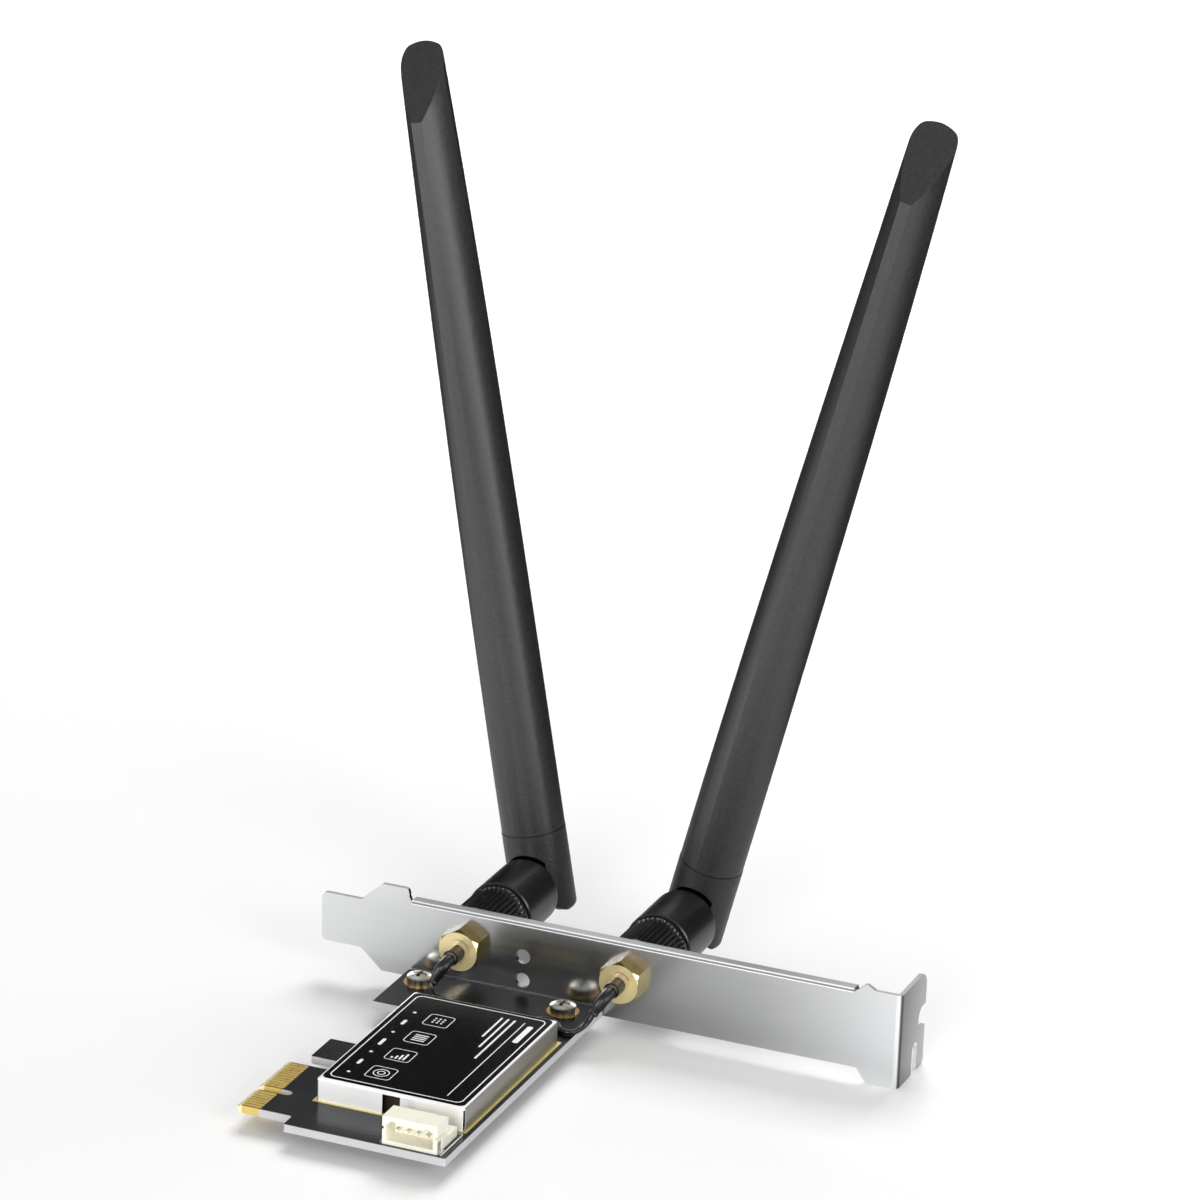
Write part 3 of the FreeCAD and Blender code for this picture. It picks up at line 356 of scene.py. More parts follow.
# long lens, a little roll; angles in degrees, lens and sensor in millimetres, distances in metres
viewSettings = {
    "place": (0.41779, -0.86292, 0.45302), "azimuth": 22.20, "elevation": 20.27, "roll": 1.959,
    "lens": 169.78, "sensor": 36, "farthest": 20,
}


def makeCamera():
    azimuth, elevation, roll = (math.radians(viewSettings[k]) for k in ("azimuth", "elevation", "roll"))
    away = math.cos(elevation)
    back = np.array([math.sin(azimuth) * away, -math.cos(azimuth) * away, math.sin(elevation)])
    level = np.cross(-back, [0, 0, 1])
    level /= np.linalg.norm(level)
    upright = np.cross(level, -back)
    right = math.cos(roll) * level + math.sin(roll) * upright
    up = -math.sin(roll) * level + math.cos(roll) * upright
    data = bpy.data.cameras.new("camera")
    data.lens = viewSettings["lens"]
    data.sensor_width = viewSettings["sensor"]
    data.clip_end = viewSettings["farthest"]
    camera = show("camera", data)
    rows = [[right[i], up[i], back[i], viewSettings["place"][i]] for i in range(3)]
    camera.matrix_world = Matrix(rows + [[0, 0, 0, 1]])
    bpy.context.scene.camera = camera


makeCamera()
print("camera set")


# leads from the jacks to the radio module, in metres
leadSettings = {"diameter": 0.00113, "resolution": 12, "bevel": 5}
leadRoutes = {
    "left": [
        (0.01445, 0.05805, 0.007915), (0.01445, 0.05325, 0.007915), (0.01265, 0.05245, 0.00485),
        (0.01185, 0.05145, 0.00205), (0.01425, 0.05005, 0.00145), (0.01725, 0.04955, 0.00145),
        (0.02005, 0.04785, 0.00145), (0.0209, 0.0450, 0.00145), (0.0209, 0.0417, 0.00155),
        (0.0209, 0.0388, 0.004085), (0.0209, 0.0344, 0.004085),
    ],
    "right": [
        (0.0482, 0.05805, 0.007915), (0.0482, 0.05315, 0.007915), (0.0463, 0.05235, 0.00465),
        (0.0451, 0.05115, 0.00215), (0.0444, 0.04965, 0.00145), (0.0438, 0.04735, 0.00145),
        (0.0413, 0.04685, 0.00145), (0.0396, 0.04985, 0.00145), (0.0366, 0.05115, 0.00145),
        (0.0340, 0.04895, 0.00145), (0.0341, 0.0452, 0.00145), (0.0341, 0.0417, 0.00155),
        (0.0341, 0.0388, 0.004085), (0.0341, 0.0344, 0.004085),
    ],
}

# shrink sleeve over a lead's first bend, in millimetres: it starts at the crimp and keeps its full radius
# up to a share of its length, from where it draws in, with faint rings all along and a bead at its free end
sleeveSettings = {
    "start": 55.25, "length": 6.1, "samples": 24, "rings": 48, "around": 20, "crease": 50,
    "radius": 1.2, "tipRadius": 0.85, "bore": 0.55, "dropStart": 0.6, "dropShare": 0.3, "dropPower": 1.4,
    "wave": 0.006, "waveRate": 22, "bead": 0.16, "beadAt": 0.95, "beadShare": 0.035,
}


def makeSleeve(side, rubber):
    s = sleeveSettings
    line = curvePoints(leadRoutes[side], s["samples"]) / mm
    line = line[line[:, 1] <= s["start"]]
    travel = np.concatenate([[0], np.cumsum(np.linalg.norm(np.diff(line, axis=0), axis=1))])
    steps = np.linspace(0, s["length"], s["rings"])
    path = np.column_stack([np.interp(steps, travel, line[:, i]) for i in range(3)])
    share = steps / steps[-1]
    drop = np.clip((share - s["dropStart"]) / s["dropShare"], 0, 1) ** s["dropPower"]
    radius = s["radius"] - (s["radius"] - s["tipRadius"]) * drop
    radius += s["wave"] * np.sin(share * s["waveRate"])
    radius += s["bead"] * np.exp(-((share - s["beadAt"]) / s["beadShare"]) ** 2)
    outer = tubeGrid(path, radius, s["around"])
    inner = tubeGrid(path, np.full(len(path), s["bore"]), s["around"])
    verts, faces = joinGrids([np.concatenate([outer, inner[::-1]])], True)
    sleeve = build(side + "_shrink_sleeve", verts, faces, rubber, "card", s["crease"])
    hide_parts(side + "_cable_sleeve")
    return sleeve


def makeLead(side, leadRubber, sleeveRubber):
    route = leadRoutes[side]
    data = bpy.data.curves.new(side + "_feed_lead", "CURVE")
    data.dimensions = "3D"
    data.resolution_u = leadSettings["resolution"]
    data.bevel_depth = leadSettings["diameter"] / 2
    data.bevel_resolution = leadSettings["bevel"]
    data.use_fill_caps = True
    addRoute(data, route)
    data.materials.append(leadRubber)
    lead = show(side + "_feed_lead", data)
    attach(lead, "card")
    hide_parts(side + "_coax_lead")
    sleeve = makeSleeve(side, sleeveRubber)


leadRubber = plainFinish(
    "leadRubber", "0e0e0f", 0.28, 0.0, mottle=(900, 3, "0a0a0b", "141415"),
    sheen=(500, 3, 0.26, 0.32), grit=(1500, 3, 0.000006, 0.1), Specular_IOR_Level=0.4)
sleeveRubber = plainFinish(
    "sleeveRubber", "0f0f10", 0.34, 0.0, mottle=(1200, 3, "0c0c0d", "171718"),
    sheen=(600, 3, 0.32, 0.38), grit=(1500, 3, 0.000006, 0.1), Specular_IOR_Level=0.4)

for side in sides:
    makeLead(side, leadRubber, sleeveRubber)
print("leads and sleeves made")


boardSettings = {
    # lacquer in soft patches, with painted shade that darkens it towards the bracket
    "lacquer": "2f2f31", "roughness": 0.2, "specular": 0.3, "facing": 0.6,
    "mask": ("28282a", "323334"), "patch": (160, 4),
    "paintedShade": "0a0a0b", "paintedShadeSpan": (0.036, 0.045), "paintedShadeRougher": 0.06,
    # copper runs under the lacquer: rows of long bricks, of which only the joints sink
    "lanes": {
        "Scale": 210, "Mortar_Size": 0.06, "Mortar_Smooth": 0.6, "Brick_Width": 2.4, "Row_Height": 0.32,
    },
    "grain": (900, 3), "grainShare": 0.25, "depth": 0.00001, "strength": 0.3,
    # cut edges of glass cloth
    "edge": ("b8b9ba", "cfcfd0"), "edgeRoughness": 0.5, "weave": {"Scale": 1500, "Distortion": 1.5},
    # plated edges of the tongue; the ends are distances from the contact tips
    "gold": "d9be6c", "pale": "efe2b0", "between": "8a7234", "goldMetallic": 0.4,
    "bevelEnd": 0.0011, "sideEnd": 0.0046, "tongueBack": 0.0131,
}


def makeBoardFinish():
    # lacquer on the two faces, bare glass cloth on the cut edges, plating round the contacts
    s = boardSettings
    f = Finish("boardLacquer", s["lacquer"], s["roughness"], Specular_IOR_Level=s["specular"])
    flat = f.above(f.combine("ABSOLUTE", f.axis("Z", "Normal")), s["facing"])
    # painted shade: the lacquer turns near black towards the bracket, and a little rougher there
    shadedRear = f.span(f.axis("Y"), *s["paintedShadeSpan"])
    mask = f.blendColours(shadedRear, f.blendColours(f.noise(*s["patch"]), *s["mask"]), s["paintedShade"])
    weave = f.pattern("ShaderNodeTexWave", **s["weave"])
    weave.bands_direction = "Z"
    cut = f.blendColours(weave.outputs["Fac"], *s["edge"])
    # the tongue, with its sides and its notch, is plated as far back as the contacts reach
    tongue = f.below(f.axis("Y"), s["tongueBack"])
    beside = f.times(f.below(f.axis("X"), s["sideEnd"]), tongue)
    tip = f.times(f.below(f.axis("X"), s["bevelEnd"]), tongue)
    cut = f.blendColours(beside, cut, s["gold"])
    mask = f.blendColours(beside, mask, s["between"])
    f.paint(f.blendColours(tip, f.blendColours(flat, cut, mask), s["pale"]))
    f.drive("Metallic", f.times(tip, s["goldMetallic"]))
    smooth = f.span(flat, 0, 1, s["edgeRoughness"], s["roughness"])
    f.drive("Roughness", f.plus(smooth, f.span(shadedRear, 0, 1, 0, s["paintedShadeRougher"])))
    lanes = f.pattern("ShaderNodeTexBrick", **s["lanes"])
    height = f.plus(lanes.outputs["Fac"], f.times(f.noise(*s["grain"]), s["grainShare"]))
    f.relief(height, s["depth"], s["strength"])
    return f.mat


dress(makeBoardFinish(), "circuit_board")

contactGold = plainFinish(
    "contactGold", "d2b45c", 0.32, 0.5, mottle=(260, 3, "c8a64c", "e0ca80"), sheen=(900, 3, 0.26, 0.36))
dress(contactGold, "edge_contacts_top", "edge_contacts_bottom")

stripGold = plainFinish(
    "stripGold", "e2cb74", 0.3, 0.4, mottle=(420, 4, "dcc060", "f2e4a2"), grit=(900, 4, 0.00004, 0.5))
dress(stripGold, "ground_strip")

padGold = plainFinish(
    "padGold", "e0b25c", 0.24, 0.8, mottle=(600, 3, "d89f48", "f0cf8c"), grit=(900, 4, 0.00003, 0.4))
dress(padGold, "screw_pads")


# facing: how squarely a face looks to the right or to the back where that side's look starts and is whole
canSettings = {
    "steel": "f2f2f2", "roughness": 0.4, "metallic": 0.5, "facing": (0.5, 0.85),
    # side: a darker grey painted on the right and back faces as shade
    "front": ("f2f2f2", "fcfcfc"), "patch": (120, 3), "side": "a4a29a", "sideMetallic": (0.12, 0.9),
    "brushed": (500, 3), "brushing": (1, 1, 8), "sheen": (0.28, 0.38),
    "dents": (300, 3), "depth": 0.00002, "strength": 0.12,
}


def makeCanFinish():
    # bright tin that reads almost white: milky in front, more of a mirror on the right and at the back, where
    # a darker grey is painted on as shade
    s = canSettings
    f = Finish("canSteel", s["steel"], s["roughness"], s["metallic"])
    right, back = (f.span(f.axis(name, "Normal"), *s["facing"]) for name in ("X", "Y"))
    beside = f.larger(right, back)
    # painted shade: faces turned right or back take the darker grey instead of the front's white
    f.paint(f.blendColours(beside, f.blendColours(f.noise(*s["patch"]), *s["front"]), s["side"]))
    f.drive("Metallic", f.span(beside, 0, 1, *s["sideMetallic"]))
    f.sheen(f.noise(*s["brushed"], f.stretch(s["brushing"])), *s["sheen"])
    f.relief(f.noise(*s["dents"]), s["depth"], s["strength"])
    return f.mat


dress(makeCanFinish(), "shield_can", "radio_module_shield")


bracketSettings = {
    "nickel": "c4c5c6", "roughness": 0.16, "metallic": 1.0, "facing": (0.55, 0.8),
    # long fine streaks along the sheet and soft clouds, in equal shares
    "streak": (900, 5), "rolling": (0.05, 1.0, 1.0), "streakRough": 0.6, "cloud": (60, 3), "share": 0.5,
    # painted light: the plate grows paler towards the tab. Painted shade: faces turned right run from dark at
    # the fold to lighter outwards, and faces turned up take a darker grey
    "plate": ("bcbdbe", "cccdce"), "pale": "dadbdc", "paintedLightSpan": (0.055, 0.1),
    "tab": ("4c4d4e", "9a9b9c"), "tabSpan": (0.0625, 0.0745), "upper": "a6a7a8",
    # the lip's cut edge, painted bright as a highlight, with a thin painted shadow line under its top corner
    "cut": "f4f4f4", "line": "7c7d7f", "lipFront": 0.05995, "lipFoot": 0.005,
    "shadowLineLow": 0.01562, "shadowLineHigh": 0.01602,
    "milkyTop": 0.65, "milkyLip": 0.95, "milkyRougher": 0.35,
    "streakSpan": (0.25, 0.75), "sheen": (0.17, 0.23),
    "grain": (2800, 3), "grainShare": 0.4, "depth": 0.000002, "strength": 0.15,
}


def makeBracketFinish():
    # smooth plate over rolled steel, with painted light and shade by how each face is turned; the folded lip
    # is milkier on top, and its cut edge is painted bright as a highlight
    s = bracketSettings
    f = Finish("bracketNickel", s["nickel"], s["roughness"], s["metallic"])
    streak = f.noise(*s["streak"], f.stretch(s["rolling"]), s["streakRough"])
    mottle = f.plus(f.times(streak, s["share"]), f.times(f.noise(*s["cloud"]), s["share"]))
    right, up = (f.span(f.axis(name, "Normal"), *s["facing"]) for name in ("X", "Z"))
    plate = f.blendColours(mottle, *s["plate"])
    # painted light: the plate is made paler towards the tab
    plate = f.blendColours(f.span(f.axis("X"), *s["paintedLightSpan"]), plate, s["pale"])
    # painted shade on the faces turned right, darkest at the fold
    tab = f.blendColours(f.span(f.axis("Y"), *s["tabSpan"]), *s["tab"])
    plate = f.blendColours(right, plate, tab)
    # painted shade: faces turned up take a darker grey
    plate = f.blendColours(up, plate, s["upper"])
    height = f.axis("Z")
    lip = f.times(f.below(f.axis("Y"), s["lipFront"]), f.above(height, s["lipFoot"]))
    line = f.times(f.above(height, s["shadowLineLow"]), f.below(height, s["shadowLineHigh"]))
    # painted highlight on the lip's cut edge, crossed by a painted shadow line
    f.paint(f.blendColours(lip, plate, f.blendColours(line, s["cut"], s["line"])))
    milky = f.larger(f.span(up, 0, 1, 0, s["milkyTop"]), f.span(lip, 0, 1, 0, s["milkyLip"]))
    f.drive("Metallic", f.minus(1.0, milky))
    smooth = f.span(streak, *s["streakSpan"], *s["sheen"])
    f.drive("Roughness", f.plus(smooth, f.span(milky, 0, 1, 0, s["milkyRougher"])))
    grain = f.times(f.noise(*s["grain"]), s["grainShare"])
    f.relief(f.plus(streak, grain), s["depth"], s["strength"])
    return f.mat


dress(makeBracketFinish(), "bracket")


brassSettings = {
    "brass": "e2cf96", "roughness": 0.16, "metallic": 1.0,
    # dark: a painted reflection on the facets turned up; front: painted light on the front face
    "plated": ("d8c07c", "e8d8a2"), "patch": (160, 3), "dark": "5e4f24", "front": "f2dfa8",
    "upPaintedShadeSpan": (0.25, 0.6), "frontPaintedLightSpan": (-0.85, -0.97), "frontMetallic": 0.5,
    "grain": (700, 3), "sheen": (0.12, 0.22), "depth": 0.000004, "strength": 0.2,
}


def makeBrassFinish():
    # plated brass, with painted light and shade by facet: the facets turned up are painted dark as a
    # reflection of the dark of the room, and the front face pale
    s = brassSettings
    f = Finish("paleBrass", s["brass"], s["roughness"], s["metallic"])
    up = f.span(f.axis("Z", "Normal"), *s["upPaintedShadeSpan"])
    front = f.span(f.axis("Y", "Normal"), *s["frontPaintedLightSpan"])
    # painted reflection: the facets turned up take the dark colour
    around = f.blendColours(up, f.blendColours(f.noise(*s["patch"]), *s["plated"]), s["dark"])
    # painted light: the front face takes the pale colour and is less of a mirror
    f.paint(f.blendColours(front, around, s["front"]))
    f.drive("Metallic", f.span(front, 0, 1, s["metallic"], s["frontMetallic"]))
    f.sheen(f.noise(*s["grain"]), *s["sheen"])
    f.relief(f.noise(*s["grain"]), s["depth"], s["strength"])
    return f.mat


dressSides(makeBrassFinish(), "jack_body", "lock_washer", "jack_nut", "jack_pin", "plug_contact", "plug_body",
           "coupling_insert")


screwSettings = {
    "zinc": "d8d4c6", "roughness": 0.3, "metallic": 0.75, "plated": ("d0ccbc", "ece9de"), "patch": (500, 3),
    "recessShade": "5c5a55", "crownSpan": (0.00205, 0.00235), "grain": (1300, 3), "sheen": (0.24, 0.36),
}


def makeScrewFinish():
    # bright zinc, with painted shade in the cross below the crown of the head
    s = screwSettings
    f = Finish("screwChrome", s["zinc"], s["roughness"], s["metallic"])
    plated = f.blendColours(f.noise(*s["patch"]), *s["plated"])
    # painted shade: everything below the crown of the head is darkened
    f.paint(f.blendColours(f.span(f.axis("Z"), *s["crownSpan"]), s["recessShade"], plated))
    f.sheen(f.noise(*s["grain"]), *s["sheen"])
    return f.mat


dress(makeScrewFinish(), "bracket_screws")

zincPlate = plainFinish("zincPlate", "cfcfcd", 0.2, 1.0, mottle=(500, 3, "bcbcba", "dededc"))
dress(zincPlate, "module_screw", "module_standoff")

crimpBlack = plainFinish(
    "crimpBlack", "111112", 0.32, 0.0, mottle=(1000, 3, "0d0d0e", "19191a"), grit=(1500, 3, 0.00001, 0.15))
dressSides(crimpBlack, "crimp_ferrule")

whiteInsulator = plainFinish("whiteInsulator", "e8e8e4", 0.35, 0.0, mottle=(500, 3, "dededa", "f0f0ec"))
dressSides(whiteInsulator, "jack_insulator", "plug_insulator")

headerIvory = plainFinish(
    "headerIvory", "f8f4e2", 0.4, 0.0, mottle=(380, 4, "f2edd6", "fcf9ec"), sheen=(1200, 4, 0.34, 0.48),
    grit=(1800, 4, 0.00002, 0.3), Subsurface_Weight=0.15, Subsurface_Scale=0.0008)
dress(headerIvory, "usb_header_housing")

tinnedMetal = plainFinish(
    "tinnedMetal", "dededa", 0.22, 0.7, mottle=(900, 4, "d0d0cc", "f0f0ee"), grit=(1600, 4, 0.00003, 0.5))
dress(tinnedMetal, "usb_header_pins", "usb_header_lugs", "antenna_receptacles")
dressSides(tinnedMetal, "coax_plug")

socketPlastic = plainFinish("socketPlastic", "1c1c1e", 0.4, 0.0, mottle=(900, 3, "151517", "27272a"))
dress(socketPlastic, "module_socket")

# gold contacts darkened as painted shade for the dark inside the socket
socketGoldShaded = plainFinish("socketGoldShaded", "5a4820", 0.4, 0.8, mottle=(400, 3, "4a3a18", "6c5828"))
dress(socketGoldShaded, "socket_contacts")

moduleBoard = plainFinish("moduleBoard", "16351f", 0.35, 0.0, mottle=(300, 3, "123019", "1d4427"))
dress(moduleBoard, "radio_module_board")

chipCeramic = plainFinish("chipCeramic", "8a6f55", 0.5, 0.0, mottle=(1500, 3, "7c634b", "9a8067"))
dress(chipCeramic, "board_capacitors")

elementCopper = plainFinish("elementCopper", "c37a4a", 0.3, 1.0, mottle=(800, 3, "b06a3c", "d18d5f"))
dressSides(elementCopper, "antenna_element")
dressSides(leadRubber, "antenna_lead")


# aerials: four moulded blacks, each with its own grain
sheathSettings = {
    "charcoal": "2b2b2c", "roughness": 0.4, "specular": 0.5, "grain": (1700, 3), "grainRough": 0.7,
    "tones": ("161617", "29292a"), "sheen": (0.34, 0.44), "depth": 0.00003, "strength": 0.3,
}


def makeSheathFinish():
    # one grain gives the tone, the sheen and the relief
    s = sheathSettings
    f = Finish("sheathCharcoal", s["charcoal"], s["roughness"], Specular_IOR_Level=s["specular"])
    grain = f.noise(*s["grain"], None, s["grainRough"])
    f.paint(f.blendColours(f.span(grain, noiseLow, noiseHigh), *s["tones"]))
    f.sheen(grain, *s["sheen"])
    f.relief(grain, s["depth"], s["strength"])
    return f.mat


dressSides(makeSheathFinish(), "antenna_sheath")


baseSettings = {
    "charcoal": "242425", "roughness": 0.36, "specular": 0.5, "cellScale": 2600, "cellSpan": (0.1, 0.6),
    "tones": ("28282a", "18181a"), "sheen": (0.28, 0.44), "depth": 0.00006, "strength": 0.5,
}


def makeBaseFinish():
    # spark-eroded texture: small cells with a pale, smooth middle
    s = baseSettings
    f = Finish("baseCharcoal", s["charcoal"], s["roughness"], Specular_IOR_Level=s["specular"])
    speckle = f.cells(s["cellScale"])
    f.paint(f.blendColours(f.span(speckle, *s["cellSpan"]), *s["tones"]))
    f.drive("Roughness", f.span(speckle, *s["cellSpan"], *s["sheen"]))
    f.relief(speckle, s["depth"], s["strength"])
    return f.mat


dressSides(makeBaseFinish(), "antenna_base", "hinge_pin")

swivelBlack = plainFinish(
    "swivelBlack", "1b1b1c", 0.27, 0.0, mottle=(1400, 3, "161617", "222223"),
    sheen=(200, 3, 0.27, 0.32), grit=(700, 2, 0.000004, 0.05), Specular_IOR_Level=0.55)
dressSides(swivelBlack, "swivel")

nutBlack = plainFinish(
    "nutBlack", "161617", 0.2, 0.0, mottle=(1300, 3, "121213", "1d1d1e"),
    sheen=(300, 3, 0.2, 0.28), Coat_Weight=0.2, Coat_Roughness=0.1)
dressSides(nutBlack, "coupling_shell")
print("finishes set")


def barGrid(cx, cy, width, length, s, low, high):
    # a filled bar, with its corners as the settings of its shape say
    return padGrid(roundedRect(cx, cy, width, length, s["corner"], s["steps"]), low, high)


# label on the can: black film with a thin white frame, one rule and plain shapes, in millimetres.
# The shapes are placed from the frame's right or left line and from its back or front line.
labelSettings = {
    "centre": (27.5, 21.3), "size": (28.9, 42.2), "top": 5.565, "ink": 0.012, "crease": 30,
    "frame": {"inset": 1.05, "corner": 1.3, "steps": 8, "line": 0.24},
    "rule": {"fromRight": 3.5, "lower": 0.3, "width": 0.2, "shorter": 4.2, "corner": 0.09, "steps": 2},
    "broadBar": {"fromRight": 1.8, "fromBack": 7.5, "width": 1.15, "length": 8.0, "corner": 0.4, "steps": 3},
    "bars": {"fromRight": 5.6, "fromBack": 2.2, "step": 1.35, "width": 0.42, "corner": 0.18, "steps": 3,
             "lengths": (19.0, 14.0, 9.5)},
    "tiles": {"fromLeft": 8.3, "fromFront": 5.3, "step": 8.6, "size": 5.0, "corner": 0.7, "steps": 4,
              "line": 0.16},
    "dashes": {"fromLeft": 2.6, "fromFront": 3.2, "step": 4.9, "width": 0.7, "corner": 0.34, "steps": 5,
               "lengths": (0.7, 2.2, 0.7, 3.0, 0.7, 2.2, 0.7)},
}
# the signs in the tiles, each about its tile's centre
signSettings = {
    "rings": {"radii": (0.7, 1.5), "line": 0.2, "points": 28},
    "stairs": {"count": 4, "left": -1.2, "foot": -1.75, "step": 0.8, "rise": 0.7, "width": 0.4,
               "corner": 0.1, "steps": 2},
    "lines": {"count": 4, "foot": -1.2, "step": 0.8, "length": 2.8, "width": 0.34, "corner": 0.15,
              "steps": 2},
    "dots": {"count": 3, "first": -0.9, "step": 0.9, "radius": 0.24, "points": 12},
}


def makeSign(kind, x, y, low, high):
    # the shapes of one sign, between the foot and the top of the ink
    s = signSettings[kind]
    grids = []
    if kind == "rings":
        for radius in s["radii"]:
            grids.append(strokeGrid(ringOutline(x, y, radius, s["points"]), s["line"], low, high))
    if kind == "stairs":
        for k in range(s["count"]):
            height = s["rise"] * (k + 1)
            cx, cy = x + s["left"] + s["step"] * k, y + s["foot"] + height / 2
            grids.append(barGrid(cx, cy, s["width"], height, s, low, high))
    if kind == "lines":
        for k in range(s["count"]):
            cy = y + s["foot"] + s["step"] * k
            grids.append(barGrid(x, cy, s["length"], s["width"], s, low, high))
    if kind == "dots":
        for k in range(s["count"] ** 2):
            row, column = divmod(k, s["count"])
            cx, cy = (centre + s["first"] + s["step"] * place for centre, place in ((x, column), (y, row)))
            grids.append(padGrid(ringOutline(cx, cy, s["radius"], s["points"]), low, high))
    return grids


def makeLabelPrint(ink):
    cx, cy = labelSettings["centre"]
    low = labelSettings["top"]
    high = low + labelSettings["ink"]
    s = labelSettings["frame"]
    w, h = (length - 2 * s["inset"] for length in labelSettings["size"])
    left, right, front, back = cx - w / 2, cx + w / 2, cy - h / 2, cy + h / 2
    grids = [strokeGrid(roundedRect(cx, cy, w, h, s["corner"], s["steps"]), s["line"], low, high)]
    # one long rule beside the frame's right line, and a broad bar in its margin
    s = labelSettings["rule"]
    x, y = right - s["fromRight"], cy - s["lower"]
    grids.append(barGrid(x, y, s["width"], h - s["shorter"], s, low, high))
    s = labelSettings["broadBar"]
    x, y = right - s["fromRight"], back - s["fromBack"]
    grids.append(barGrid(x, y, s["width"], s["length"], s, low, high))
    # three plain bars, each shorter than the last
    s = labelSettings["bars"]
    for i, length in enumerate(s["lengths"]):
        x, y = right - s["fromRight"] - s["step"] * i, back - s["fromBack"] - length / 2
        grids.append(barGrid(x, y, s["width"], length, s, low, high))
    # four plain tiles in a line, each a frame with a simple sign inside
    s = labelSettings["tiles"]
    for i, kind in enumerate(signSettings):
        x, y = left + s["fromLeft"], front + s["fromFront"] + s["step"] * i
        tile = roundedRect(x, y, s["size"], s["size"], s["corner"], s["steps"])
        grids.append(strokeGrid(tile, s["line"], low, high))
        grids += makeSign(kind, x, y, low, high)
    # a row of plain dots and dashes along the left border
    s = labelSettings["dashes"]
    for i, length in enumerate(s["lengths"]):
        x, y = left + s["fromLeft"], front + s["fromFront"] + s["step"] * i
        grids.append(barGrid(x, y, s["width"], length, s, low, high))
    verts, faces = joinGrids(grids)
    build("label_print", verts, faces, ink, "card", labelSettings["crease"])


labelFilm = plainFinish(
    "labelFilm", "0a0a0b", 0.32, 0.0, mottle=(300, 3, "09090a", "0e0e0f"),
    sheen=(1500, 4, 0.17, 0.23), grit=(900, 2, 0.000002, 0.1), Specular_IOR_Level=0.16)
dress(labelFilm, "can_label")

whiteInk = plainFinish("whiteInk", "ececec", 0.5, 0.0, mottle=(2600, 3, "eaeaea", "fafafa"))
makeLabelPrint(whiteInk)
print("label printed")


# white lines printed on the board beside and behind the header, in millimetres
legendSettings = {
    "low": 0.786, "high": 0.80, "line": 0.18, "corner": 0.08, "steps": 2, "crease": 30,
    "right": 42.75, "back": -1.45, "front": -11.6, "left": 31.6,
}


def makeLegend(ink):
    s = legendSettings
    middle = ((s["left"] + s["right"]) / 2, (s["front"] + s["back"]) / 2)
    width, length = s["right"] - s["left"], s["back"] - s["front"]
    grids = [
        barGrid(s["right"], middle[1], s["line"], length, s, s["low"], s["high"]),
        barGrid(middle[0], s["back"], width, s["line"], s, s["low"], s["high"]),
    ]
    verts, faces = joinGrids(grids)
    build("board_legend", verts, faces, ink, "card", s["crease"])


makeLegend(whiteInk)


# ribbed coupling nuts, turned with rounded ribs, in millimetres
nutSettings = {
    "front": 65.8, "back": 78.3, "radius": 6.5, "bore": 4.7, "lip": 2.45, "insertBack": 76.4, "crease": 40,
    "centres": {"left": 14.45, "right": 48.2}, "height": 7.915,
    "ribs": 42, "pointsPerRib": 10, "depth": 0.42, "power": 0.7, "ribFrom": 1.4, "ribTo": 1.5, "ribRings": 8,
    # rims: distance in from the nut's end, drop below its radius and share of the rib's depth
    "frontRim": ((0, 0.35, 0), (0.1, 0.12, 0), (0.3, 0.05, 0), (0.6, 0.05, 0), (0.75, 0.05, 0.5),
                 (1.0, 0, 1)),
    "backRim": ((1.15, 0, 0.5), (1.0, 0, 0), (0.35, 0, 0), (0.12, 0.1, 0), (0, 0.35, 0)),
}


def makeNut(side):
    s = nutSettings
    front, back, full = s["front"], s["back"], s["radius"]
    count = s["ribs"] * s["pointsPerRib"]
    angle = np.arange(count) * 2 * np.pi / count
    # one rib: a raised cosine to a power below one, so the crests are broad and the grooves narrow
    wave = (0.5 + 0.5 * np.cos(angle * s["ribs"])) ** s["power"]
    # profile = distance along, radius and share of the rib's depth, round the whole section
    profile = [(front, s["bore"], 0)]
    profile += [(front + inward, full - drop, share) for inward, drop, share in s["frontRim"]]
    profile += [(y, full, 1) for y in np.linspace(front + s["ribFrom"], back - s["ribTo"], s["ribRings"])]
    profile += [(back - inward, full - drop, share) for inward, drop, share in s["backRim"]]
    profile += [(back, s["lip"], 0), (s["insertBack"], s["lip"], 0), (s["insertBack"], s["bore"], 0)]
    along, radius, share = np.array(profile).T[:, :, None]
    radius = radius - share * s["depth"] * (1 - wave)
    x = s["centres"][side] + radius * np.sin(angle)
    z = s["height"] + radius * np.cos(angle)
    grid = np.stack([x, np.repeat(along, count, axis=1), z], axis=-1)
    verts, faces = joinGrids([grid], True)
    body = side + "_coupling_nut"
    piece = build(side + "_ribbed_nut", verts, faces, nutBlack, body, s["crease"])
    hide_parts(side + "_coupling_shell")


for side in sides:
    makeNut(side)
print("ribbed nuts made")


floorSettings = {
    # a flat sheet just below the object, in millimetres, that curls up behind into a wall:
    # height = (distance past the curl's start)^2 / curlSpread
    "gap": 0.05, "reach": 2600.0, "columns": 9, "flatRows": 8, "curlStart": 900, "curlSpread": 1400.0,
    "wallStart": 1000, "wallEnd": 2400, "wallRows": 16,
    "paper": ("f0f0f0", "f6f6f6"), "patch": (6, 2), "roughness": 0.5, "specular": 0.25,
    # behind the object polished faces see a dark floor, as of black cloth, and close to it a grey one, which
    # is a painted shadow
    "dark": "2e2e2e", "darkSpan": (0.06, 0.2),
    "centre": (0.042, 0.05, 0.0), "nearShadeSpan": (0.01, 0.055), "nearShadeGrey": 0.5,
    # white added to the floor by distance, least near the object: for the lens, and for polished faces, where
    # its lack near the object is a painted shadow
    "lensSpan": (0.15, 1.1), "lensGlow": (0.08, 0.6), "mirrorSpan": (0.03, 0.10), "mirrorGlow": 0.6,
}


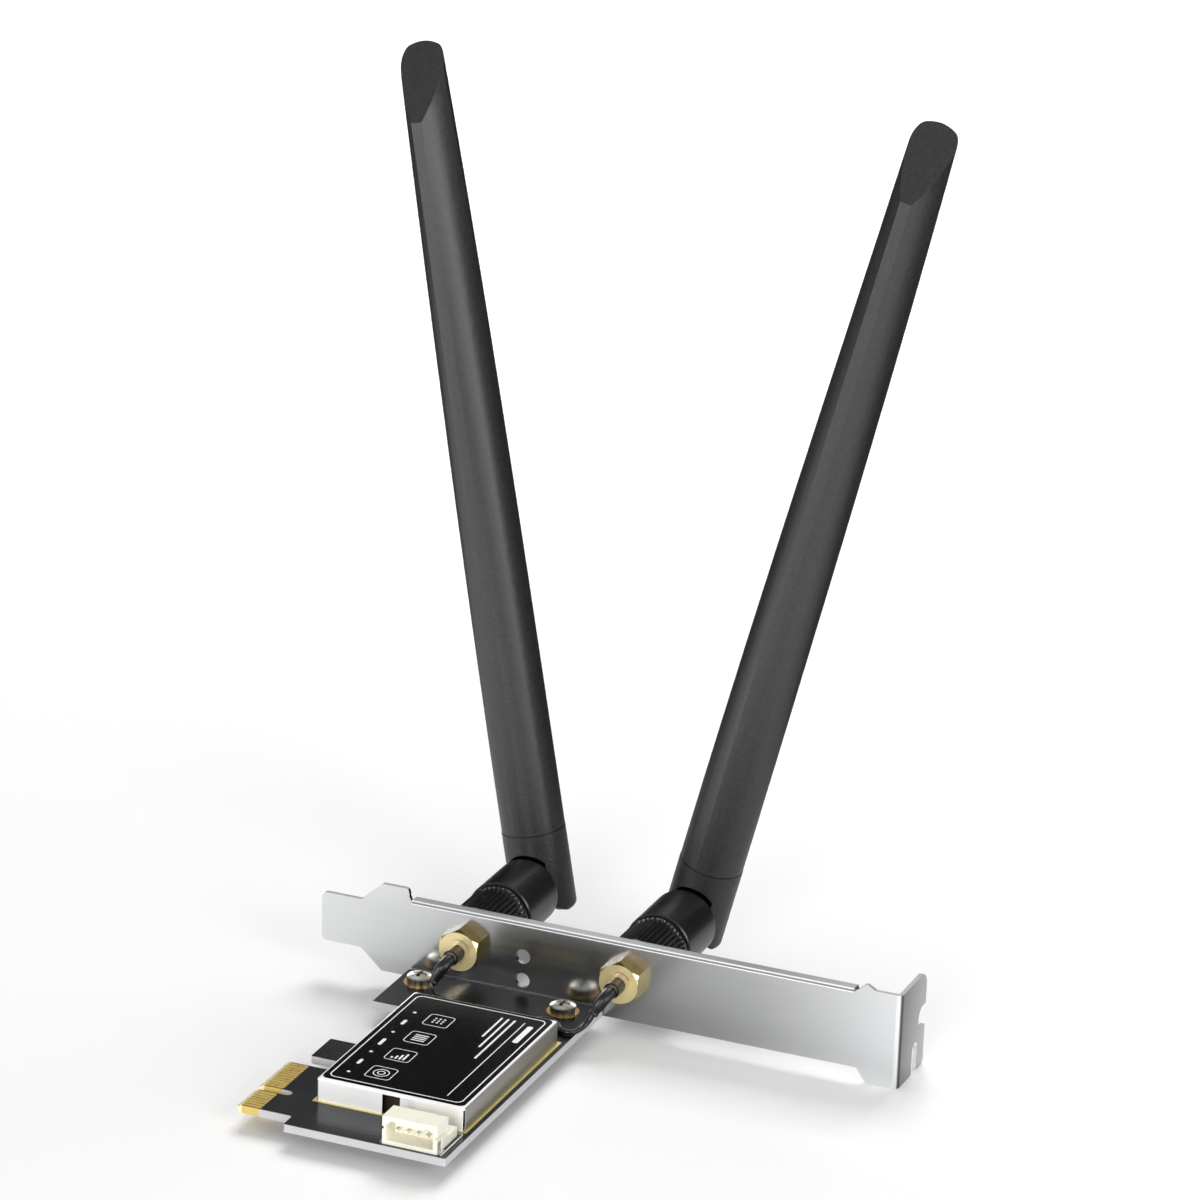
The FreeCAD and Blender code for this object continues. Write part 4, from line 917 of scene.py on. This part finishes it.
def makeFloorFinish():
    # pale paper that takes the object's shadow
    s = floorSettings
    f = Finish("floorPaper", s["paper"][0], s["roughness"], Specular_IOR_Level=s["specular"])
    rays = f.add("ShaderNodeLightPath").outputs
    behind = f.span(f.axis("Y"), *s["darkSpan"])
    apart = f.add("ShaderNodeVectorMath", operation="DISTANCE")
    apart.inputs[1].default_value = s["centre"]
    f.link(f.where, apart.inputs[0])
    # painted shadow, seen only in reflections: the floor turns grey close to the object
    nearShade = f.span(apart.outputs["Value"], *s["nearShadeSpan"], s["nearShadeGrey"], 0)
    hidden = f.times(f.larger(behind, nearShade), rays["Is Glossy Ray"])
    f.paint(f.blendColours(hidden, f.blendColours(f.noise(*s["patch"]), *s["paper"]), s["dark"]))
    # glow = more white with distance, for the rays of the lens and of polished faces alone
    distance = f.add("ShaderNodeVectorMath", operation="LENGTH")
    f.link(f.where, distance.inputs[0])
    watched = f.larger(rays["Is Camera Ray"], rays["Is Transmission Ray"])
    white = f.span(distance.outputs["Value"], *s["lensSpan"], *s["lensGlow"])
    # for polished faces the glow fades near the object: a painted shadow in reflections
    mirrored = f.span(apart.outputs["Value"], *s["mirrorSpan"], 0, s["mirrorGlow"])
    mirrored = f.times(f.times(mirrored, rays["Is Glossy Ray"]), f.minus(1.0, behind))
    f.set("Emission Color", (1, 1, 1, 1))
    f.drive("Emission Strength", f.larger(f.times(white, watched), mirrored))
    # from behind or below, the lens looks through the sheet
    sheet = f.add("ShaderNodeNewGeometry")
    through = f.add("ShaderNodeMixShader")
    f.link(f.times(sheet.outputs["Backfacing"], rays["Is Camera Ray"]), through.inputs["Fac"])
    f.link(f.shader.outputs["BSDF"], through.inputs[1])
    f.link(f.add("ShaderNodeBsdfTransparent").outputs["BSDF"], through.inputs[2])
    f.link(through.outputs["Shader"], f.tree.nodes["Material Output"].inputs["Surface"])
    return f.mat


def makeFloor():
    s = floorSettings
    low = cadBox[0][2] / mm
    across = np.linspace(-s["reach"], s["reach"], s["columns"])
    flat = np.linspace(-s["reach"], s["curlStart"], s["flatRows"])
    wall = np.linspace(s["wallStart"], s["wallEnd"], s["wallRows"])
    x, y = np.meshgrid(across, np.concatenate([flat, wall]))
    z = low - s["gap"] + np.clip(y - s["curlStart"], 0, None) ** 2 / s["curlSpread"]
    grid = np.stack([x, y, z], axis=-1)
    rows, cols = grid.shape[:2]
    mesh = bpy.data.meshes.new("studioFloor")
    mesh.from_pydata((grid.reshape(-1, 3) * mm).tolist(), [], gridFaces(rows, cols, False, False))
    mesh.polygons.foreach_set("use_smooth", [True] * len(mesh.polygons))
    mesh.materials.append(makeFloorFinish())
    show("studioFloor", mesh)


# dark card behind the object, seen only in polished faces, as a studio flag is, in millimetres
flagSettings = {
    "left": -1700, "right": 700, "low": 90, "high": 1150, "away": 880, "cloth": "202022", "roughness": 0.9,
}


def makeFlag():
    s = flagSettings
    around = (("left", "low"), ("right", "low"), ("right", "high"), ("left", "high"))
    corners = [(s[end], s["away"], s[height]) for end, height in around]
    card = bpy.data.meshes.new("studioFlag")
    card.from_pydata((np.array(corners) * mm).tolist(), [], [(0, 1, 2, 3)])
    card.materials.append(Finish("flagCloth", s["cloth"], s["roughness"], Specular_IOR_Level=0.0).mat)
    flag = show("studioFlag", card)
    for rays in ("camera", "diffuse", "shadow", "transmission"):
        setattr(flag, "visible_" + rays, False)


# strength of the white surroundings: as light on the object, and as each kind of ray sees them
worldSettings = {"light": 0.26, "Is Camera Ray": 1.0, "Is Transmission Ray": 1.0, "Is Glossy Ray": 0.55}


def makeWorld():
    world = bpy.data.worlds.new("studio")
    bpy.context.scene.world = world
    world.use_nodes = True
    tree = world.node_tree
    background = tree.nodes["Background"]
    background.inputs["Color"].default_value = (1, 1, 1, 1)
    rays = tree.nodes.new("ShaderNodeLightPath")
    # from the light's own strength on, each kind of ray adds what it lacks
    level = None
    for ray in ("Is Camera Ray", "Is Transmission Ray", "Is Glossy Ray"):
        raised = tree.nodes.new("ShaderNodeMath")
        raised.operation = "MULTIPLY_ADD"
        raised.inputs[1].default_value = worldSettings[ray] - worldSettings["light"]
        raised.inputs[2].default_value = worldSettings["light"]
        tree.links.new(rays.outputs[ray], raised.inputs[0])
        if level is not None:
            tree.links.new(level, raised.inputs[2])
        level = raised.outputs[0]
    tree.links.new(level, background.inputs["Strength"])


# soft lamps above, in front and on the right, and two low strips that only gleam in glossy faces:
# place, aim, width of the square, power
lampSettings = {
    "leftStrip": ((-0.66, -0.72, 0.17), (0.03, 0.06, 0.08), 0.32, 5.5),
    "rightStrip": ((1.02, -0.05, 0.17), (0.03, 0.06, 0.08), 0.32, 2.2),
    "topSoft": ((-0.05, 0.70, 0.88), (0.03, 0.05, 0.0), 0.6, 8.5),
    "frontSoft": ((0.15, -1.15, 0.35), (0.03, 0.05, 0.03), 0.5, 8.0),
    "rightSoft": ((0.95, -0.45, 0.40), (0.03, 0.05, 0.03), 0.5, 4.5),
}


def makeLamp(name, place, aim, width, power):
    data = bpy.data.lights.new(name, "AREA")
    data.shape = "RECTANGLE"
    data.size = width
    data.size_y = width
    data.energy = power
    lamp = show(name, data)
    lamp.location = place
    lamp.rotation_euler = (Vector(aim) - Vector(place)).to_track_quat("-Z", "Y").to_euler()
    lamp.visible_diffuse = not name.endswith("Strip")


makeFloor()
makeFlag()
makeWorld()
for name, values in lampSettings.items():
    makeLamp(name, *values)
bpy.context.scene.view_settings.view_transform = "Standard"
print("room lit")
